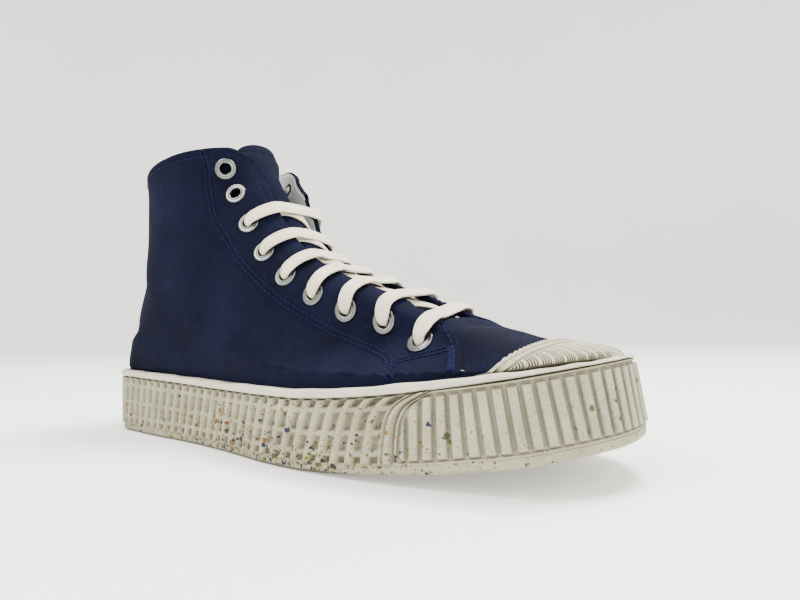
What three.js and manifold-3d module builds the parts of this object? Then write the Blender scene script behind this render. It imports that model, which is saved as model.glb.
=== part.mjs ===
// High canvas sneaker, right shoe, empty and standing on its sole.
// Millimetres, +X to the toe, +Y to the inner (medial) side, +Z up.
// The shape is worked out with x from the back of the heel; the group is then moved
// so that its origin lies on the floor at the middle of the heel's tread.

import * as THREE from 'three';
import Module from 'manifold-3d';

const wasm = await Module();
wasm.setup();

// Sole
const soleLength = 297;
const ballWidth = 104;
const wallHeight = 28.8;
const toeSpring = 15.7;
const springStart = 0.58;
const springPower = 1.5;
const stripHeight = 3.6;
const stripTuck = 1.0;
const edgeRound = 1.2;
const foxingWall = 4.2;
const toeBatter = 3.6;
const slabHeight = 20;
const weltHeight = 3.5;
const weltProud = 0.9;
const fitGap = 0.3;
const footGap = 0.6;
const softGap = 1.5;

// Relief of the sole's side
const bumperStart = 0.703;
const bumperArc = 16.5;
const barPitch = 7.0;
const barLean = 0.3;
const barRelief = 1.5;
const railRelief = 1.0;
const ribPitch = 5.25;
const ribRelief = 1.3;

// Tread
const treadDepth = 1.6;
const treadWidth = 3.4;
const treadPitch = 10.5;
const treadMargin = 9;
const waistDepth = 0.9;

// Upper
const upperHeight = 118;
const upperWall = 1.7;
const quarterStep = 0.9;
const capWall = 1.4;
const capGap = 0.4;
const insoleThickness = 4;
const insoleGap = 1.5;
const tongueWall = 2.4;
const tongueRise = 9;
const tongueOuter = 29;
const tongueInner = 17;
const tongueShare = 0.8;

// Lacing
const eyeletCount = 9;
const eyeletBelowCollar = 11;
const eyeletTopPitch = 15;
const eyeletToFront = 19;
const eyeletReachTop = 15;
const eyeletReachFront = 18;
const eyeletBore = 5.6;
const eyeletFlange = 11.2;
const eyeletThick = 1.2;
const eyeletSeat = 0.5;
const barrelWall = 0.6;
const laceWidth = 7.6;
const laceThick = 1.6;
const firstLaced = 3;

// Outline of the sole: a row for each place along it, half-widths as shares of the ball width
const outline = [
  { along: 0.000, lateral: 0.000, medial: 0.000, wall: 1.095, batter: 0.0 },
  { along: 0.012, lateral: 0.173, medial: 0.154, wall: 1.094, batter: 0.0 },
  { along: 0.045, lateral: 0.286, medial: 0.269, wall: 1.090, batter: 0.0 },
  { along: 0.100, lateral: 0.317, medial: 0.322, wall: 1.080, batter: 0.0 },
  { along: 0.180, lateral: 0.344, medial: 0.327, wall: 1.060, batter: 0.0 },
  { along: 0.290, lateral: 0.368, medial: 0.303, wall: 1.025, batter: 0.0 },
  { along: 0.410, lateral: 0.420, medial: 0.308, wall: 1.000, batter: 0.0 },
  { along: 0.530, lateral: 0.489, medial: 0.375, wall: 1.000, batter: 0.0 },
  { along: 0.640, lateral: 0.508, medial: 0.452, wall: 1.000, batter: 0.0 },
  { along: 0.740, lateral: 0.507, medial: 0.490, wall: 0.997, batter: 0.1 },
  { along: 0.830, lateral: 0.479, medial: 0.466, wall: 0.992, batter: 0.3 },
  { along: 0.900, lateral: 0.434, medial: 0.404, wall: 0.988, batter: 0.6 },
  { along: 0.950, lateral: 0.320, medial: 0.317, wall: 0.985, batter: 0.9 },
  { along: 0.983, lateral: 0.194, medial: 0.202, wall: 0.983, batter: 1.0 },
  { along: 1.000, lateral: 0.000, medial: 0.000, wall: 0.983, batter: 1.0 },
];

// Sections of the last: each lies in a plane from a foot on the sole's rim (around: 0 at the
// heel, 1 at the toe) or on the back of the heel (backX, backRise) to a top on the middle line.
// Lengths are shares of the sole's length (X), the upper's height (Rise) and the ball width.
const sectionFields = [
  'around', 'backX', 'backRise', 'topX', 'topRise', 'lateral', 'medial', 'level',
  'fullL', 'fullM', 'pinch', 'flareM', 'gapL', 'gapM',
];
const sections = [
  [1.000, 0.000, 0.000, 0.970, 0.000, 0.000, 0.000, 0.100, 2.100, 2.100, 0.000, 0.000, 0.110, 0.110],
  [0.864, 0.000, 0.000, 0.956, 0.026, 0.240, 0.240, 0.100, 2.100, 2.100, 0.000, 0.000, 0.110, 0.110],
  [0.806, 0.000, 0.000, 0.926, 0.053, 0.360, 0.340, 0.100, 2.100, 2.100, 0.000, 0.000, 0.110, 0.110],
  [0.749, 0.000, 0.000, 0.882, 0.086, 0.410, 0.400, 0.100, 2.100, 2.100, 0.050, 0.000, 0.110, 0.110],
  [0.725, 0.000, 0.000, 0.761, 0.212, 0.440, 0.420, 0.100, 2.200, 2.200, 0.240, 0.000, 0.260, 0.110],
  [0.650, 0.000, 0.000, 0.697, 0.292, 0.470, 0.440, 0.120, 2.400, 2.400, 0.370, 0.000, 0.165, 0.120],
  [0.581, 0.000, 0.000, 0.640, 0.362, 0.460, 0.400, 0.140, 2.400, 2.400, 0.370, 0.000, 0.165, 0.125],
  [0.516, 0.000, 0.000, 0.576, 0.436, 0.440, 0.350, 0.160, 2.300, 2.300, 0.300, 0.000, 0.155, 0.130],
  [0.451, 0.000, 0.000, 0.512, 0.530, 0.400, 0.310, 0.200, 2.150, 2.200, 0.180, 0.000, 0.142, 0.140],
  [0.376, 0.000, 0.000, 0.458, 0.661, 0.360, 0.300, 0.250, 2.050, 2.200, 0.080, 0.030, 0.130, 0.160],
  [0.286, 0.000, 0.000, 0.421, 0.794, 0.340, 0.310, 0.320, 2.000, 2.400, 0.020, 0.080, 0.118, 0.185],
  [0.175, 0.000, 0.000, 0.397, 0.886, 0.340, 0.310, 0.380, 2.000, 2.700, 0.000, 0.085, 0.110, 0.210],
  [0.000, 0.010, 0.000, 0.386, 0.932, 0.330, 0.310, 0.420, 2.000, 3.000, 0.000, 0.080, 0.108, 0.225],
  [0.000, 0.032, 0.290, 0.375, 0.975, 0.325, 0.300, 0.450, 2.000, 3.300, 0.000, 0.080, 0.110, 0.235],
  [0.000, 0.058, 0.660, 0.368, 1.004, 0.325, 0.305, 0.480, 2.050, 3.600, 0.000, 0.080, 0.122, 0.240],
  [0.000, 0.044, 0.965, 0.362, 1.030, 0.340, 0.320, 0.500, 2.100, 3.800, 0.000, 0.075, 0.135, 0.240],
].map((row) => Object.fromEntries(sectionFields.map((field, i) => [field, row[i]])));
const capRow = 3;
const roundRow = 8;
const quarterRow = 4;
const heelRow = 12;
const collarRow = sections.length - 1;

const heelMiddle = 0.135;
const heelTreadEnd = 0.27;
const waistStart = 0.3;
const waistEnd = 0.44;
const ballTreadStart = 0.47;

// Small vector sums on [x, y, z] lists
const add = (a, b) => [a[0] + b[0], a[1] + b[1], a[2] + b[2]];
const sub = (a, b) => [a[0] - b[0], a[1] - b[1], a[2] - b[2]];
const scale = (a, k) => [a[0] * k, a[1] * k, a[2] * k];
const cross = (a, b) => [
  a[1] * b[2] - a[2] * b[1],
  a[2] * b[0] - a[0] * b[2],
  a[0] * b[1] - a[1] * b[0],
];
const unit = (a) => scale(a, 1 / Math.max(Math.hypot(...a), 1e-9));
const mix = (a, b, k) => a.map((value, i) => value + (b[i] - value) * k);
const spread = (count, from = 0, to = 1) =>
  Array.from({ length: count + 1 }, (_, i) => from + ((to - from) * i) / count);
const ease = (value) => {
  const v = Math.min(1, Math.max(0, value));
  return v * v * (3 - 2 * v);
};

// Smooth cubic through the values at rising places
function curveThrough(places, values) {
  const last = places.length - 1;
  const slope = (i) => (values[i + 1] - values[i]) / (places[i + 1] - places[i]);
  const tangents = values.map((_, i) => {
    if (i === 0) return slope(0);
    if (i === last) return slope(last - 1);
    const before = places[i] - places[i - 1];
    const after = places[i + 1] - places[i];
    return (slope(i - 1) * after + slope(i) * before) / (before + after);
  });
  return (place) => {
    let i = 0;
    while (i < last - 1 && place > places[i + 1]) i += 1;
    const width = places[i + 1] - places[i];
    const u = Math.min(1, Math.max(0, (place - places[i]) / width));
    const a = 2 * u ** 3 - 3 * u ** 2 + 1;
    const b = u ** 3 - 2 * u ** 2 + u;
    const c = 3 * u ** 2 - 2 * u ** 3;
    const d = u ** 3 - u ** 2;
    return a * values[i] + b * width * tangents[i] + c * values[i + 1] + d * width * tangents[i + 1];
  };
}

// Outline of the sole, by the turn around it: 0 at the heel, 1 at the toe
const turns = outline.map((row) => Math.asin(Math.sqrt(row.along)) / (Math.PI / 2));
const outlineColumn = (name, size) => curveThrough(turns, outline.map((row) => row[name] * size));
const halfWidth = {
  lateral: outlineColumn('lateral', ballWidth),
  medial: outlineColumn('medial', ballWidth),
};
const wallShare = outlineColumn('wall', 1);
const batterShare = outlineColumn('batter', 1);
const sideSign = { lateral: -1, medial: 1 };
const alongAt = (turn) => Math.sin((turn * Math.PI) / 2) ** 2;
const turnAt = (x) => Math.asin(Math.sqrt(Math.min(1, Math.max(0, x / soleLength)))) / (Math.PI / 2);

// Height of the ground side of the sole over the floor, and of the top of the foxing and welt
function liftAt(x) {
  const past = Math.max(0, (x / soleLength - springStart) / (1 - springStart));
  return toeSpring * past ** springPower;
}
const foxingTop = (x) => liftAt(x) + wallHeight * wallShare(turnAt(x));
const weltTall = (x) => weltHeight * (1 - 0.3 * ease((x / soleLength - 0.75) / 0.25));
const weltTop = (x) => foxingTop(x) + weltTall(x);
const batterAt = (turn) => toeBatter * batterShare(turn);

function rimPlan(side, turn) {
  return [soleLength * alongAt(turn), sideSign[side] * halfWidth[side](turn)];
}
function rimNormal(side, turn) {
  if (turn < 1e-6) return [-1, 0];
  if (turn > 1 - 1e-6) return [1, 0];
  const step = 1e-3;
  const before = rimPlan(side, Math.max(0, turn - step));
  const after = rimPlan(side, Math.min(1, turn + step));
  const dx = after[0] - before[0];
  const dy = after[1] - before[1];
  const length = Math.hypot(dx, dy);
  const sign = sideSign[side];
  return [(-sign * dy) / length, (sign * dx) / length];
}
// Point of the rim drawn in by some millimetres
function rimPoint(side, turn, inset) {
  const plan = rimPlan(side, turn);
  const normal = rimNormal(side, turn);
  const atEnd = turn < 1e-6 || turn > 1 - 1e-6;
  return [plan[0] - normal[0] * inset, atEnd ? 0 : plan[1] - normal[1] * inset];
}
const featherInset = (turn) => foxingWall + footGap + batterAt(turn);

// Closed mesh gathered face by face; corners that coincide become one
class Skin {
  constructor() {
    this.places = [];
    this.numbers = new Map();
    this.faces = [];
  }
  corner(point) {
    const key = point.map((value) => Math.round(value * 2000)).join(' ');
    if (!this.numbers.has(key)) {
      this.numbers.set(key, this.places.length);
      this.places.push(point);
    }
    return this.numbers.get(key);
  }
  triangle(a, b, c) {
    const [i, j, k] = [a, b, c].map((point) => this.corner(point));
    if (i !== j && j !== k && k !== i) this.faces.push([i, j, k]);
  }
  quad(a, b, c, d) {
    this.triangle(a, b, c);
    this.triangle(a, c, d);
  }
  // Faces between two lines with as many points each
  strip(first, second) {
    for (let i = 0; i + 1 < first.length; i += 1) {
      this.quad(first[i], first[i + 1], second[i + 1], second[i]);
    }
  }
  solid() {
    const mesh = new wasm.Mesh({
      numProp: 3,
      vertProperties: new Float32Array(this.places.flat()),
      triVerts: new Uint32Array(this.faces.flat()),
    });
    return new wasm.Manifold(mesh);
  }
}

function geometryOf(solid) {
  const mesh = solid.getMesh();
  const geometry = new THREE.BufferGeometry();
  geometry.setAttribute('position', new THREE.BufferAttribute(new Float32Array(mesh.vertProperties), 3));
  geometry.setIndex(new THREE.BufferAttribute(new Uint32Array(mesh.triVerts), 1));
  return geometry;
}

// Solid of revolution about +Z through a closed profile of [radius, height] pairs
function turned(profile, sides, matrix) {
  const skin = new Skin();
  const ring = (angle) => profile.map(([radius, height]) => {
    const point = new THREE.Vector3(radius * Math.cos(angle), radius * Math.sin(angle), height);
    return point.applyMatrix4(matrix).toArray();
  });
  for (let i = 0; i < sides; i += 1) {
    const here = ring((2 * Math.PI * i) / sides);
    const next = ring((2 * Math.PI * ((i + 1) % sides)) / sides);
    skin.strip([...next, next[0]], [...here, here[0]]);
  }
  return skin.solid();
}

// Sections of the upper
const sectionPlaces = sections.map((_, i) => i);
const sectionColumn = (name, size) => curveThrough(sectionPlaces, sections.map((row) => row[name] * size));
const column = {
  around: sectionColumn('around', 1),
  backX: curveThrough([0, 1, 2, 3], sections.slice(heelRow).map((row) => row.backX * soleLength)),
  backRise: curveThrough([0, 1, 2, 3], sections.slice(heelRow).map((row) => row.backRise * upperHeight)),
  topX: sectionColumn('topX', soleLength),
  topRise: sectionColumn('topRise', upperHeight),
  lateral: sectionColumn('lateral', ballWidth),
  medial: sectionColumn('medial', ballWidth),
  level: sectionColumn('level', 1),
  fullL: sectionColumn('fullL', 1),
  fullM: sectionColumn('fullM', 1),
  pinch: sectionColumn('pinch', 1),
  flareM: sectionColumn('flareM', 1),
  gapL: sectionColumn('gapL', ballWidth),
  gapM: sectionColumn('gapM', ballWidth),
};
const lowerShare = 0.35;

// Place on the sole's rim, or on the back of the heel, where a section starts
function footOf(side, t) {
  if (t >= heelRow) {
    const x = foxingWall + footGap + column.backX(t - heelRow) - column.backX(0);
    return [x, 0, weltTop(0) + column.backRise(t - heelRow)];
  }
  const turn = Math.min(1, Math.max(0, column.around(t)));
  const [x, y] = rimPoint(side, turn, featherInset(turn));
  return [x, y, weltTop(x)];
}
function topOf(t) {
  const tip = soleLength - featherInset(1);
  const x = Math.min(tip, column.topX(t));
  return t === 0 ? [tip, 0, weltTop(tip)] : [x, 0, weltTop(x) + column.topRise(t)];
}

// Form of a section near its top: the quarters' own, or the tongue's, which never flares
const quarterForm = (side, t) =>
  side === 'lateral'
    ? { full: column.fullL(t), flare: 0 }
    : { full: column.fullM(t), flare: column.flareM(t) };
const tongueForm = (side, t) => ({ full: column.fullL(t), flare: 0 });

// Point of the last's surface: t counts the sections, a goes from foot (0) to middle line (1)
function lastPoint(side, t, a, form = quarterForm) {
  const foot = footOf(side, t);
  const top = topOf(t);
  const { full, flare } = form(side, t);
  const footWidth = Math.abs(foot[1]);
  const widest = Math.max(footWidth + 0.4 * Math.min(1, t), column[side](t));
  const level = column.level(t);
  let rise;
  let width;
  if (a < lowerShare) {
    const turn = (a / lowerShare) * (Math.PI / 2);
    const round = ease((t - roundRow) / (heelRow - roundRow));
    const straight = a / lowerShare;
    rise = level * (straight + (1 - Math.cos(turn) - straight) * round);
    width = footWidth + (widest - footWidth) * Math.sin(turn);
  } else {
    const turn = Math.min(1, (a - lowerShare) / (1 - lowerShare)) * (Math.PI / 2);
    const share = Math.sin(turn) ** (2 / full);
    const waist = 1 - column.pinch(t) * Math.sin(Math.PI * share);
    rise = level + (1 - level) * share + flare * Math.sin(turn) ** 2;
    width = a >= 1 ? 0 : widest * waist * Math.cos(turn) ** (2 / full);
  }
  const x = foot[0] + (top[0] - foot[0]) * rise;
  const z = foot[2] + (top[2] - foot[2]) * rise;
  return [x, sideSign[side] * width, z];
}

// Outward direction; near the foot of the low toe sections it is the rim's own
function lastNormal(side, t, a, form) {
  if (t <= 0) return [1, 0, 0];
  const rim = [...rimNormal(side, Math.min(1, Math.max(0, column.around(t)))), 0];
  if (a <= 0 && t <= heelRow) return rim;
  const step = 0.01;
  const after = lastPoint(side, Math.min(collarRow, t + step), a, form);
  const before = lastPoint(side, Math.max(0, t - step), a, form);
  const alongT = sub(after, before);
  if (a >= 1 || a <= 0) return unit(cross([0, a >= 1 ? 1 : -1, 0], alongT));
  const higher = lastPoint(side, t, Math.min(0.999, a + step), form);
  const lower = lastPoint(side, t, Math.max(0, a - step), form);
  const surface = unit(scale(cross(alongT, sub(higher, lower)), sideSign[side]));
  return unit(mix(rim, surface, Math.max(ease(t - capRow), ease((a - lowerShare) / 0.2))));
}
const lastOffset = (side, t, a, off, form) =>
  add(lastPoint(side, t, a, form), scale(lastNormal(side, t, a, form), off));

// Share a of a section where its upper part has a given half-width
function shareAtWidth(side, t, width, form) {
  let low = lowerShare;
  let high = 1;
  for (let i = 0; i < 30; i += 1) {
    const middle = (low + high) / 2;
    if (Math.abs(lastPoint(side, t, middle, form)[1]) > width) low = middle;
    else high = middle;
  }
  return (low + high) / 2;
}
const gapAt = (side, t) => (side === 'lateral' ? column.gapL(t) : column.gapM(t));
const edgeShare = (side, t) => shareAtWidth(side, t, gapAt(side, t));

// The front edge of the quarters bows to the toe, the collar sinks to the back
const frontBow = (a) => -0.17 * Math.sin(Math.PI * Math.min(1, a / 0.8)) - 0.05;
const nearFront = (t) => ease(1 - Math.abs(t - quarterRow));
const collarDip = (a) => -0.28 * Math.max(0, 1 - a / 0.5) ** 2;
const nearCollar = (t) => ease((t - collarRow + 2) / 2);
const bent = (t, a) => t + frontBow(a) * nearFront(t) + collarDip(a) * nearCollar(t);

// Upper: one hollow wall, open at the collar, at the throat and underneath
const wallRows = 8;
const bridgeRows = 3;
const upperStations = [
  0, 0.5, 1, 1.5, 2, 2.5, 3, 3.5, 4, 4.35, 4.7, 5.1, 5.6, 6.2, 6.8, 7.4, 8, 8.6, 9.2, 9.8,
  10.4, 11, 11.4, 11.7, 12, 12.4, 12.9, 13.6, 14.3, 15,
];
const slabTop = (x) => liftAt(x) + slabHeight;
const innerOff = -(quarterStep + upperWall);

function sectionShares(side, t) {
  const edge = edgeShare(side, Math.max(t, quarterRow));
  return [...spread(wallRows, 0, edge), ...spread(bridgeRows, edge, 1).slice(1)];
}
function upperColumn(side, t, off, closed) {
  const shares = sectionShares(side, t).slice(0, closed ? undefined : wallRows + 1);
  return shares.map((a) => {
    const atFoot = (a === 0 || t === 0) && t <= heelRow && off > innerOff;
    return lastOffset(side, bent(t, a), a, atFoot ? 0 : off);
  });
}

function upperSolid() {
  const skin = new Skin();
  for (const side of ['lateral', 'medial']) {
    const face = side === 'lateral' ? (a, b) => skin.strip(a, b) : (a, b) => skin.strip(b, a);
    const columns = [];
    for (const t of upperStations) {
      if (t <= quarterRow) {
        const outer = upperColumn(side, t, -quarterStep, true);
        columns.push({ t, outer, inner: upperColumn(side, t, innerOff, true) });
      }
      if (t >= quarterRow) {
        const outer = upperColumn(side, t, 0, false);
        columns.push({ t, outer, inner: upperColumn(side, t, innerOff, false) });
      }
    }
    for (let i = 0; i + 1 < columns.length; i += 1) {
      const { outer, inner } = columns[i];
      const next = columns[i + 1];
      const count = next.outer.length;
      face(outer.slice(0, count), next.outer);
      face(next.inner, inner.slice(0, count));
      if (outer.length > count) face(outer.slice(count - 1), inner.slice(count - 1));
    }
    face(columns.at(-1).outer, columns.at(-1).inner);
    const quarters = columns.filter((entry) => entry.t >= quarterRow);
    const outerEdge = quarters.map((entry) => entry.outer[wallRows]);
    const innerEdge = quarters.map((entry) => entry.inner[wallRows]);
    face(innerEdge, outerEdge);
    const skirted = columns.filter((entry) => entry.t <= heelRow);
    const low = (point) => [point[0], point[1], slabTop(point[0]) + fitGap];
    const outerFoot = skirted.map((entry) => entry.outer[0]);
    const innerFoot = skirted.map((entry) => entry.inner[0]);
    const outerLow = outerFoot.map(low);
    const innerLow = innerFoot.map(low);
    face(outerFoot, outerLow);
    face(innerLow, innerFoot);
    face(outerLow, innerLow);
  }
  return skin.solid();
}

// Toe cap: a shell over the upper's own toe
function toeCapSolid() {
  const skin = new Skin();
  const stations = upperStations.filter((t) => t <= capRow);
  const line = (side, t, off) =>
    sectionShares(side, t).map((a) => {
      const atFoot = a === 0 || t === 0;
      return lastOffset(side, t, a, atFoot ? off + quarterStep : off);
    });
  const innerCap = capGap - quarterStep;
  for (const side of ['lateral', 'medial']) {
    const face = side === 'lateral' ? (a, b) => skin.strip(a, b) : (a, b) => skin.strip(b, a);
    const outer = stations.map((t) => line(side, t, innerCap + capWall));
    const inner = stations.map((t) => line(side, t, innerCap));
    for (let i = 0; i + 1 < stations.length; i += 1) {
      face(outer[i], outer[i + 1]);
      face(inner[i + 1], inner[i]);
    }
    face(outer.at(-1), inner.at(-1));
    face(outer.map((points) => points[0]), inner.map((points) => points[0]));
  }
  return skin.solid();
}

// Tongue: a curved sheet under the throat, its foot under the vamp, its top over the collar
const tongueStart = 3.5;
const tongueStations = [
  tongueStart, 4, 4.6, 5.4, 6.3, 7.1, 7.7, 8.2, 8.7, 9.2, 9.8, 10.5, 11.4, 12.6, 13.8, 15,
];
const tongueOff = innerOff - softGap;
function tongueSolid() {
  const skin = new Skin();
  const sides = [['lateral', tongueOuter, 4], ['medial', tongueInner, 3]];
  const crest = sub(topOf(collarRow), topOf(collarRow - 1));
  const rise = scale(unit(crest), tongueRise);
  const lines = (off) => {
    const rows = tongueStations.map((t) => {
      const halves = sides.map(([side, reach, count]) => {
        const width = Math.min(reach, column[side](t) * tongueShare);
        const edge = shareAtWidth(side, t, width, tongueForm);
        return spread(count, edge, 1).map((a) => lastOffset(side, t, a, off, tongueForm));
      });
      return [...halves[0], ...halves[1].reverse().slice(1)];
    });
    const last = rows.at(-1);
    const lower = last.map((point, i) => {
      const round = Math.sin((Math.PI * i) / (last.length - 1));
      return add(point, scale(rise, 0.25 + 0.75 * round ** 0.6));
    });
    return [...rows, lower];
  };
  const outer = lines(tongueOff);
  const inner = lines(tongueOff - tongueWall);
  for (let i = 0; i + 1 < outer.length; i += 1) {
    skin.strip(outer[i], outer[i + 1]);
    skin.strip(inner[i + 1], inner[i]);
  }
  skin.strip(outer.at(-1), inner.at(-1));
  skin.strip(inner[0], outer[0]);
  skin.strip(outer.map((line) => line[0]), inner.map((line) => line[0]));
  skin.strip(inner.map((line) => line.at(-1)), outer.map((line) => line.at(-1)));
  return skin.solid();
}

// Length along the rim from the heel, and the turn at a given length
const rimSteps = 600;
function rimTable(side) {
  const lengths = [0];
  for (let i = 1; i <= rimSteps; i += 1) {
    const [x0, y0] = rimPlan(side, (i - 1) / rimSteps);
    const [x1, y1] = rimPlan(side, i / rimSteps);
    lengths.push(lengths[i - 1] + Math.hypot(x1 - x0, y1 - y0));
  }
  return lengths;
}
const rimLengths = { lateral: rimTable('lateral'), medial: rimTable('medial') };
const rimTotal = (side) => rimLengths[side][rimSteps];
function turnAtLength(side, length) {
  const lengths = rimLengths[side];
  const wanted = Math.min(rimTotal(side), Math.max(0, length));
  let i = 1;
  while (i < rimSteps && lengths[i] < wanted) i += 1;
  return (i - 1 + (wanted - lengths[i - 1]) / (lengths[i] - lengths[i - 1])) / rimSteps;
}

// Point of the side wall: d runs from the heel (negative on the medial side), up from the
// top of the ground strip (0) to the top of the foxing (1), proud outwards
const wallFoot = (x) => liftAt(x) + stripHeight + fitGap;
function wallPoint(d, up, proud) {
  const side = d < 0 ? 'medial' : 'lateral';
  const turn = turnAtLength(side, Math.abs(d));
  const [x, y] = rimPoint(side, turn, batterAt(turn) * up - proud);
  const foot = wallFoot(soleLength * alongAt(turn));
  const top = foxingTop(soleLength * alongAt(turn));
  return [x, y, foot + (top - foot) * up];
}
function wallBack(d, up) {
  const side = d < 0 ? 'medial' : 'lateral';
  const turn = turnAtLength(side, Math.abs(d));
  const [x, y] = rimPoint(side, turn, foxingWall + batterAt(turn));
  const foot = wallFoot(soleLength * alongAt(turn));
  const top = foxingTop(soleLength * alongAt(turn));
  return [x, y, foot + (top - foot) * up];
}

// Band of the side wall between two ends, with its relief given by columns of one pitch
function bandSolid(columns, ups, relief, place, backStep) {
  const skin = new Skin();
  const outer = columns.map((c) => ups.map((up) => wallPoint(place(c, up), up, relief(c, up))));
  const backColumns = columns.filter((_, i) => i % backStep === 0 || i === columns.length - 1);
  const back = backColumns.map((c) => ups.map((up) => wallBack(place(c, up), up)));
  for (let i = 0; i + 1 < outer.length; i += 1) skin.strip(outer[i + 1], outer[i]);
  for (let i = 0; i + 1 < back.length; i += 1) {
    const here = [back[i][0], back[i].at(-1)];
    const next = [back[i + 1][0], back[i + 1].at(-1)];
    skin.strip(here, next);
  }
  const line = (rows, pick) => rows.map((row) => row.at(pick));
  zipColumns(skin, backColumns, line(back, 0), columns, line(outer, 0));
  zipColumns(skin, columns, line(outer, -1), backColumns, line(back, -1));
  const cap = (front, behind, flip) => {
    for (let j = 0; j + 1 < front.length; j += 1) {
      if (flip) skin.triangle(front[j], front[j + 1], behind[0]);
      else skin.triangle(front[j + 1], front[j], behind[0]);
    }
    if (flip) skin.triangle(front.at(-1), behind.at(-1), behind[0]);
    else skin.triangle(behind.at(-1), front.at(-1), behind[0]);
  };
  cap(outer[0], back[0], true);
  cap(outer.at(-1), back.at(-1), false);
  return skin.solid();
}
// Faces between two lines whose points stand at given columns
function zipColumns(skin, firstColumns, first, secondColumns, second) {
  let i = 0;
  let j = 0;
  while (i < first.length - 1 || j < second.length - 1) {
    const nextFirst = i < first.length - 1 ? firstColumns[i + 1] : Infinity;
    const nextSecond = j < second.length - 1 ? secondColumns[j + 1] : Infinity;
    if (nextFirst <= nextSecond) {
      skin.triangle(first[i], first[i + 1], second[j]);
      i += 1;
    } else {
      skin.triangle(first[i], second[j + 1], second[j]);
      j += 1;
    }
  }
}

// Where the toe bumper begins, by height: it sweeps forward under the welt
const bumperLine = (side, up) =>
  rimTotal(side) * bumperStart + bumperArc * (0.2 * up ** 2 + 0.8 * up ** 8);

// Lattice: leaning bars over three rails, round the heel from bumper to bumper
const railLevels = [0.17, 0.47, 0.82];
const latticeUps = [0, 0.17, 0.32, 0.47, 0.64, 0.82, 1];
function latticeSolid() {
  const reach = { lateral: rimTotal('lateral') * bumperStart, medial: rimTotal('medial') * bumperStart };
  const bars = Math.round((reach.lateral + reach.medial) / barPitch);
  const columns = spread(bars * 2);
  const place = (c, up) => {
    const d = -reach.medial + (reach.lateral + reach.medial) * c;
    const side = d < 0 ? 'medial' : 'lateral';
    const toEnd = Math.abs(d) / reach[side];
    const arc = (bumperLine(side, up) - reach[side] - fitGap) * Math.sign(d) * toEnd ** 12;
    const lean = barLean * wallHeight * (up - 0.5) * Math.sin((Math.PI * d) / (2 * reach[side]));
    return d + arc + lean * (1 - toEnd ** 12);
  };
  const relief = (c, up) => {
    const bar = Math.round(c * bars * 2) % 2;
    const rail = railLevels.includes(up);
    if (c === 0 || c === 1 || up === 0 || up === 1) return 0;
    return bar ? barRelief : (rail ? railRelief : 0);
  };
  return bandSolid(columns, latticeUps, (c, up) => relief(c, up) - barRelief, place, 1);
}

// Toe bumper: upright ribs round the toe in a plain border
const ribFrom = 0.22;
const ribTo = 0.72;
const bumperBorder = 0.3;
function bumperSolid() {
  const length = (side) => rimTotal(side) * (1 - bumperStart);
  const whole = length('lateral') + length('medial');
  const ribs = Math.round(whole / ribPitch);
  const columns = [0];
  for (let i = 0; i < ribs; i += 1) columns.push((i + ribFrom) / ribs, (i + ribTo) / ribs, (i + 1) / ribs);
  const place = (c, up) => {
    const fromLateral = whole * c;
    const side = fromLateral < length('lateral') ? 'lateral' : 'medial';
    const past = side === 'lateral' ? fromLateral : whole - fromLateral;
    const share = past / length(side);
    const start = bumperLine(side, up);
    return (start + (rimTotal(side) - start) * share) * (side === 'lateral' ? 1 : -1);
  };
  const ups = [0, 0.05, 0.94, 1];
  const relief = (c, up) => {
    const inside = up > 0 && up < 1 && c > 0 && c < 1;
    const atRib = [ribFrom, ribTo].some((share) => Math.abs(((c * ribs) % 1) - share) < 0.01);
    return inside && atRib ? 0 : -ribRelief * (inside ? 1 : bumperBorder);
  };
  return bandSolid(columns, ups, relief, place, 2);
}

// Welt: a rounded tape over the foxing, round the upper
function weltSolid() {
  const skin = new Skin();
  const stations = [];
  for (const turn of spread(34)) stations.push(['lateral', turn]);
  for (const turn of spread(34).reverse().slice(1, -1)) stations.push(['medial', turn]);
  const profile = [[foxingWall, 0], [0.3, 0], [-weltProud, 0.45], [0.7, 1], [foxingWall, 1]];
  const ring = ([side, turn]) => profile.map(([inset, up]) => {
    const [x, y] = rimPoint(side, turn, inset + batterAt(turn));
    const wallX = soleLength * alongAt(turn);
    const low = foxingTop(wallX) + fitGap;
    const high = weltTop(rimPoint(side, turn, featherInset(turn))[0]) - fitGap;
    return [x, y, low + (high - low) * up];
  });
  const rings = stations.map(ring);
  rings.forEach((here, i) => {
    const next = rings[(i + 1) % rings.length];
    skin.strip([...next, next[0]], [...here, here[0]]);
  });
  return skin.solid();
}

// Flat body over the sole's outline, drawn in and raised by [inset, height] rings
function plateSolid(rings, count) {
  const skin = new Skin();
  const turns = spread(count);
  const line = (side, [inset, height]) => turns.map((turn) => {
    const [x, y] = rimPoint(side, turn, inset(turn));
    return [x, y, liftAt(x) + height];
  });
  const left = rings.map((ring) => line('medial', ring));
  const right = rings.map((ring) => line('lateral', ring));
  for (let i = 0; i + 1 < rings.length; i += 1) {
    skin.strip(left[i + 1], left[i]);
    skin.strip(right[i], right[i + 1]);
  }
  skin.strip(left[0], right[0]);
  skin.strip(right.at(-1), left.at(-1));
  return skin.solid();
}

function boxSolid(low, high) {
  const geometry = new THREE.BoxGeometry(high[0] - low[0], high[1] - low[1], high[2] - low[2]);
  geometry.translate((low[0] + high[0]) / 2, (low[1] + high[1]) / 2, (low[2] + high[2]) / 2);
  const positions = geometry.getAttribute('position').array;
  const index = geometry.getIndex().array;
  const skin = new Skin();
  const corner = (i) => Array.from(positions.slice(i * 3, i * 3 + 3));
  for (let i = 0; i < index.length; i += 3) {
    skin.triangle(corner(index[i]), corner(index[i + 1]), corner(index[i + 2]));
  }
  return skin.solid();
}

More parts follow.
